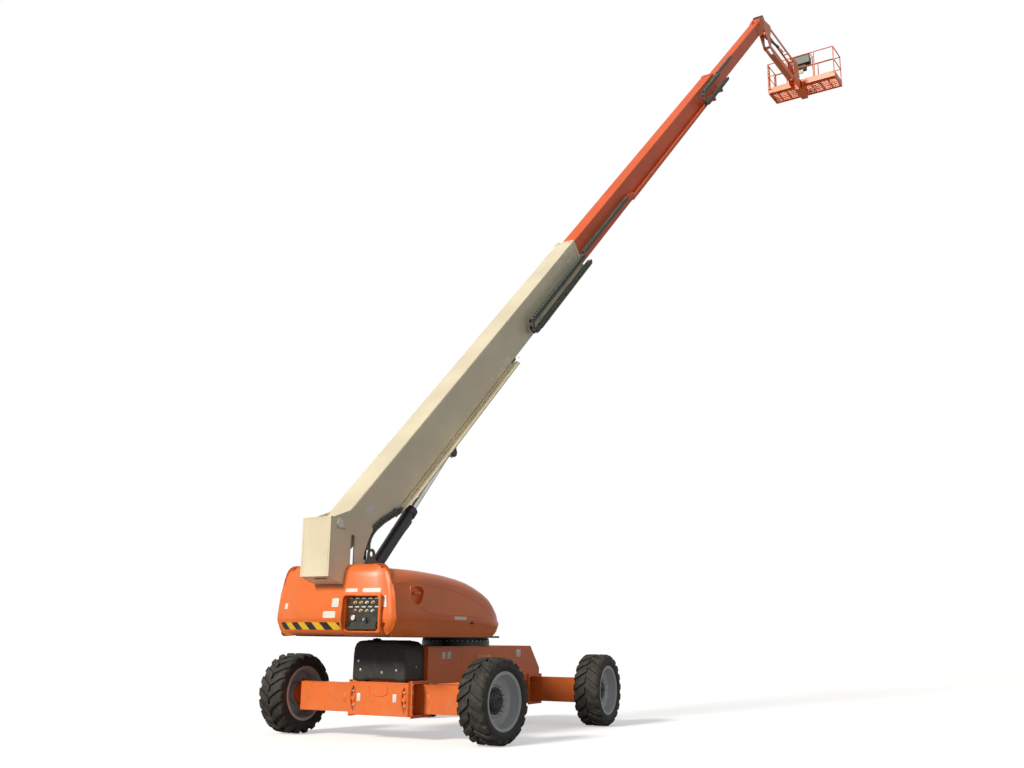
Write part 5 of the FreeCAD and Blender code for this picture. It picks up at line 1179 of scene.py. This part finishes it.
def chassis_trim():
    """Plates, seams, ring bolts and teeth, and the moulded cover with its studs, cap and ribs."""
    plates, welds = [], []
    for x, w, h in ((-1.30, 0.10, 0.10), (-1.14, 0.10, 0.10), (1.20, 0.16, 0.12)):
        plates += flanks((x, x + w), FRAME_SIDE + 0.0005, (1.10, 1.10 + h), 0.0015, 0.0008)
    fitted("chassis_plates", plates, "chassis", "white_plate")
    for x, z in (((-1.62, 1.74), (1.262, 1.270)), ((-1.30, 1.30), (0.765, 0.773)),
                 ((-0.706, -0.696), (0.80, 1.26)), ((0.694, 0.704), (0.80, 1.26))):
        welds += flanks(x, FRAME_SIDE, z, 0.003, 0.002)
    welds += flanks((-0.25, 0.25), FRAME_SIDE, (0.95, 1.15), 0.006, 0.004)
    fitted("chassis_weld_seams", welds, "chassis", "orange_paint")
    bolts("ring_bolts", "chassis", 0.010, 0.014,
          [((RING_BOLT_R * math.cos(a), RING_BOLT_R * math.sin(a), RING_TOP), UP)
           for a in around(RING_BOLTS, 0.5)])
    tooth = slab(((0.512, -0.008), (0.5155, -0.010), (0.532, -0.005), (0.532, 0.005), (0.5155, 0.010),
                  (0.512, 0.008)), 1.360, 1.398, "Z", 0)
    fitted("ring_teeth", repeated(tooth, [Matrix.Rotation(a, 4, "Z") for a in around(RING_TEETH)]),
           "chassis", "black_steel")
    low, high = span("axle_cover", GROUND)
    fitted("rounded_cover", slab(COVER_OUTLINE, low.x, high.x, "X", 0.045, 4), "chassis", "black_plastic",
           smooth=40, stands_for=["axle_cover"])
    spots = [((low.x + 0.001, y, z), (-1, 0, 0))
             for y, z in ((0.30, 0.95), (-0.06, 0.92), (0.34, 1.07), (-0.30, 0.95))]
    bolts("cover_studs", "chassis", 0.013, 0.010,
          spots + [((-1.95, s * 0.449, 1.0), (0, s, 0)) for s in SIDES])
    cap = [(0, 0), (0.060, 0), (0.060, 0.020), (0.050, 0.030), (0.018, 0.030), (0.014, 0.036), (0, 0.036)]
    fitted("cover_filler_cap", spun(cap, 36, (-1.98, 0.20, 1.355), UP, closed=False), "chassis",
           "black_plastic")
    ribs = [block((low.x + 0.085, y - 0.02, 1.350), (-1.78, y + 0.02, 1.364), 0.006, 3)
            for y in (-0.24, 0.0, 0.24)]
    fitted("cover_ribs", ribs, "chassis", "black_plastic")


# ---------------------------------------------------------------- lift cylinder, jib and platform
CYLINDER_FOOT = Vector((-2.785, 0, 1.580))
GRATING_BARS, GRATING_RUNGS = 27, 52
HOOP_R = 0.015


def cylinder_trim():
    """Gland, ports, line and bands of the lift cylinder, drawn standing on its foot."""
    rod = span("lift_rod")[1]
    axis = Vector((rod.x - 0.06, 0, rod.z - 0.06)) - CYLINDER_FOOT
    place = TURN @ facing(CYLINDER_FOOT, axis)
    gland = spun([(0.058, 2.336), (0.102, 2.336), (0.1085, 2.328), (0.1085, 2.222), (0.104, 2.212),
                  (0.0955, 2.212), (0.0955, 2.30), (0.058, 2.30)], 48, axis=UP)
    parts = [pipe([(0, -0.134, 2.16), (0, -0.140, 2.10), (0, -0.118, 2.0), (0, -0.112, 1.2),
                   (0, -0.116, 0.35), (0, -0.140, 0.26), (0, -0.134, 0.19)], 0.009)]
    for h in (0.16, 2.16):
        parts.append(block((-0.03, -0.125, h - 0.03), (0.03, -0.085, h + 0.03), 0.005))
        parts.append(bar((0, -0.12, h), (0, -0.138, h), 0.017, 12))
    bands = [spun([(0.0945, h), (0.0975, h), (0.0975, h + 0.03), (0.0945, h + 0.03)], 40, axis=UP)
             for h in (0.6, 1.2, 1.8)]
    for name, piece in (("lift_gland", gland), ("lift_cylinder_ports", parts),
                        ("lift_cylinder_bands", bands)):
        fitted(name, piece, "lift_cylinder", "black_steel", place=place)


def jib_trim():
    """Flanges, cover, bushes and hoses of the jib arms, and the rotator's motor."""
    for body, node, lift in (("jib_lower", "jib_arm_lower", 0.074), ("jib_upper", "jib_arm_upper", 0.002)):
        low, high = span(node)
        mid = (low.z + high.z) / 2
        x0, x1 = low.x + 0.36, high.x - 0.36
        strips = flanks((x0 + 0.30, x1), 0.074, (mid + lift, mid + lift + 0.006), 0.012, 0.002)
        if body == "jib_lower":
            strips.append(block((x0, -0.086, mid - 0.092), (x1, 0.086, mid - 0.086), 0.002))
        fitted(body + "_covers", strips, body, "platform_steel")
        bush = [(0.030, 0), (0.043, 0), (0.043, 0.004), (0.030, 0.004)]
        bushes = [spun(bush, 28, (x, s * 0.0952, mid), (0, s, 0)) for x in (low.x + 0.045, high.x - 0.045)
                  for s in SIDES]
        fitted(body + "_bushes", bushes, body, "zinc")
    low, high = span("jib_arm_lower")
    mid = (low.z + high.z) / 2
    hoses = [pipe([(low.x + 0.40, y, mid - 0.086), (low.x + 0.46, y, mid - 0.070),
                   (low.x + 0.70, y, mid - 0.074), (low.x + 1.30, y, mid - 0.074),
                   (high.x - 0.45, y, mid - 0.070), (high.x - 0.38, y, mid - 0.086)],
                  0.010) for y in (-0.028, 0.0, 0.028)]
    fitted("jib_hoses", hoses, "jib_lower", "hose_rubber")
    low, high = span("jib_end")
    drum = [(0, 0), (0.080, 0), (0.086, 0.008), (0.086, 0.10), (0.072, 0.115), (0.072, 0.13), (0, 0.13)]
    fitted("rotator_motor", spun(drum, 36, (high.x - 0.095, 0, low.z + 0.51), UP, closed=False),
           "jib_front", "black_steel")


def platform_trim():
    """Grating, patches, hoop, rail corners, lanyard eyes, console fittings, boxes and gate fittings."""
    low, high = span("platform_floor")
    x0, x1, y0, y1, z1 = low.x, high.x, low.y, high.y, high.z - 0.004
    rail_top = span("platform_rails")[1].z
    console_low, console_high = span("platform_console")
    bars, rungs = GRATING_BARS, GRATING_RUNGS
    along = block((x0 + 0.042, y0 + 0.04, z1 - 0.016), (x0 + 0.046, y1 - 0.04, z1 - 0.001), 0, 1)
    across = block((x0 + 0.04, y0 + 0.045, z1 - 0.012), (x1 - 0.04, y0 + 0.049, z1 - 0.001), 0, 1)
    step_x, step_y = (x1 - x0 - 0.088) / bars, (y1 - y0 - 0.094) / rungs
    fitted("floor_grating", [repeated(along,
                                      [Matrix.Translation((i * step_x, 0, 0)) for i in range(bars + 1)]),
                             repeated(across, [Matrix.Translation((0, i * step_y, 0))
                                               for i in range(rungs + 1)])],
           "platform", "platform_steel")
    for name, y, x, out in (("left", y1 - 0.17, x0, -1), ("right", y0 + 0.01, x0, -1),
                            ("far_left", y1 - 0.17, x1, 1), ("far_right", y0 + 0.01, x1, 1)):
        x += out * 0.0005
        patch = block((x - 0.001, y, z1 + 0.055), (x + 0.001, y + 0.16, z1 + 0.125), 0.0006)
        fitted("toe_patch_" + name, patch, "platform", "hazard")
    level = rail_top - 0.0304
    ya, yb, xi = console_low.y - 0.03, console_high.y + 0.03, x0 + 0.36
    leg = [(0.04, -0.02), (0.04, 0), (0.12, 0.015), (0.36, 0.015), (0.40, 0.015)]
    route = [(x0 + x, ya, level + z) for x, z in leg]
    route += [(xi + 0.06, y, level + 0.015) for y in (ya + 0.05, 0.0, yb - 0.05)]
    route += [(x0 + x, yb, level + z) for x, z in reversed(leg)]
    hoop = [pipe(route, HOOP_R, 5)]
    hoop += [bar((xi, y, z1 + 0.01), (xi, y, level + 0.012), HOOP_R, 18) for y in (ya, yb)]
    fitted("console_hoop", hoop, "platform", "platform_steel", smooth=50)
    knuckle = [(0, 0.024), (0.015, 0.020), (0.022, 0.008), (0.024, 0), (0.022, -0.008), (0.015, -0.020),
               (0, -0.024)]
    fitted("rail_corners", [spun(knuckle, 20, (x, y, rail_top - 0.030), UP, closed=False)
                            for x in (x0 + 0.019, x1 - 0.019) for y in (y0 + 0.019, y1 - 0.019)],
           "platform", "platform_steel", smooth=60)
    fitted("lanyard_eyes", [spun(round_wire(0.022, 0, 0.005), 24, (x, y, z1 + 0.60)) for y in (-0.72, 0.72)
                            for x in (x0 + 0.03, x1 - 0.03)], "platform", "zinc")
    z = console_low.z + 0.16
    fitted("console_buttons", [bar((x0 + 0.27, y, z), (x0 + 0.335, y, z + 0.02), 0.016, 18)
                               for y in (-0.27, -0.09, 0.09, 0.27)], "platform", "red_knob")
    boot = [(0.034, -0.085), (0.030, -0.074), (0.032, -0.068), (0.024, -0.060), (0.026, -0.052),
            (0.014, -0.042), (0.010, -0.085)]
    grips = []
    for y in (-0.21, 0.0, 0.21):
        tip = Vector((x0 + 0.250, y, rail_top + 0.012))
        grips.append(bar(tip - Vector((0.006, 0, 0.04)), tip + Vector((0.004, 0, 0.02)), 0.017, 18, 0.006,
                         0.021))
        grips.append(spun(boot, 24, tip - Vector((0.004, 0, 0.012)), UP))
    fitted("console_grips", grips, "platform", "black_plastic")
    case = block((x0 + 0.045, -0.20, z1 + 0.52), (x0 + 0.18, 0.20, z1 + 0.74), 0.015, 3)
    lid = block((x0 + 0.178, -0.185, z1 + 0.535), (x0 + 0.186, 0.185, z1 + 0.725), 0.004, 2)
    fitted("console_case", [case, lid], "platform", "black_plastic")
    fitted("pale_box", block((x0 - 0.045, -0.12, z1 + 0.36), (x0 - 0.002, 0.12, z1 + 0.50), 0.008, 3),
           "platform", "pale_moulding")
    low, high = span("platform_gate")
    x, y = high.x - 0.016, high.y - 0.019
    gate = [bar((x, y, z), (x, y, z + 0.06), 0.021, 18) for z in (z1 + 0.25, z1 + 0.95)]
    gate.append(block((low.x - 0.012, high.y - 0.035, z1 + 0.62), (low.x + 0.06, high.y - 0.003, z1 + 0.66),
                      0.005))
    fitted("gate_fittings", gate, "gate", "zinc")


pale_floor()
studio_light()
camera()
wheels()
tail()
tail_trim()
hoods()
chains()
boom_trim()
nose()
tower_trim()
axle_trim()
for tag in WHEELS:
    beam_trim(tag)
chassis_trim()
cylinder_trim()
jib_trim()
platform_trim()
bpy.context.scene.view_settings.view_transform = "Standard"
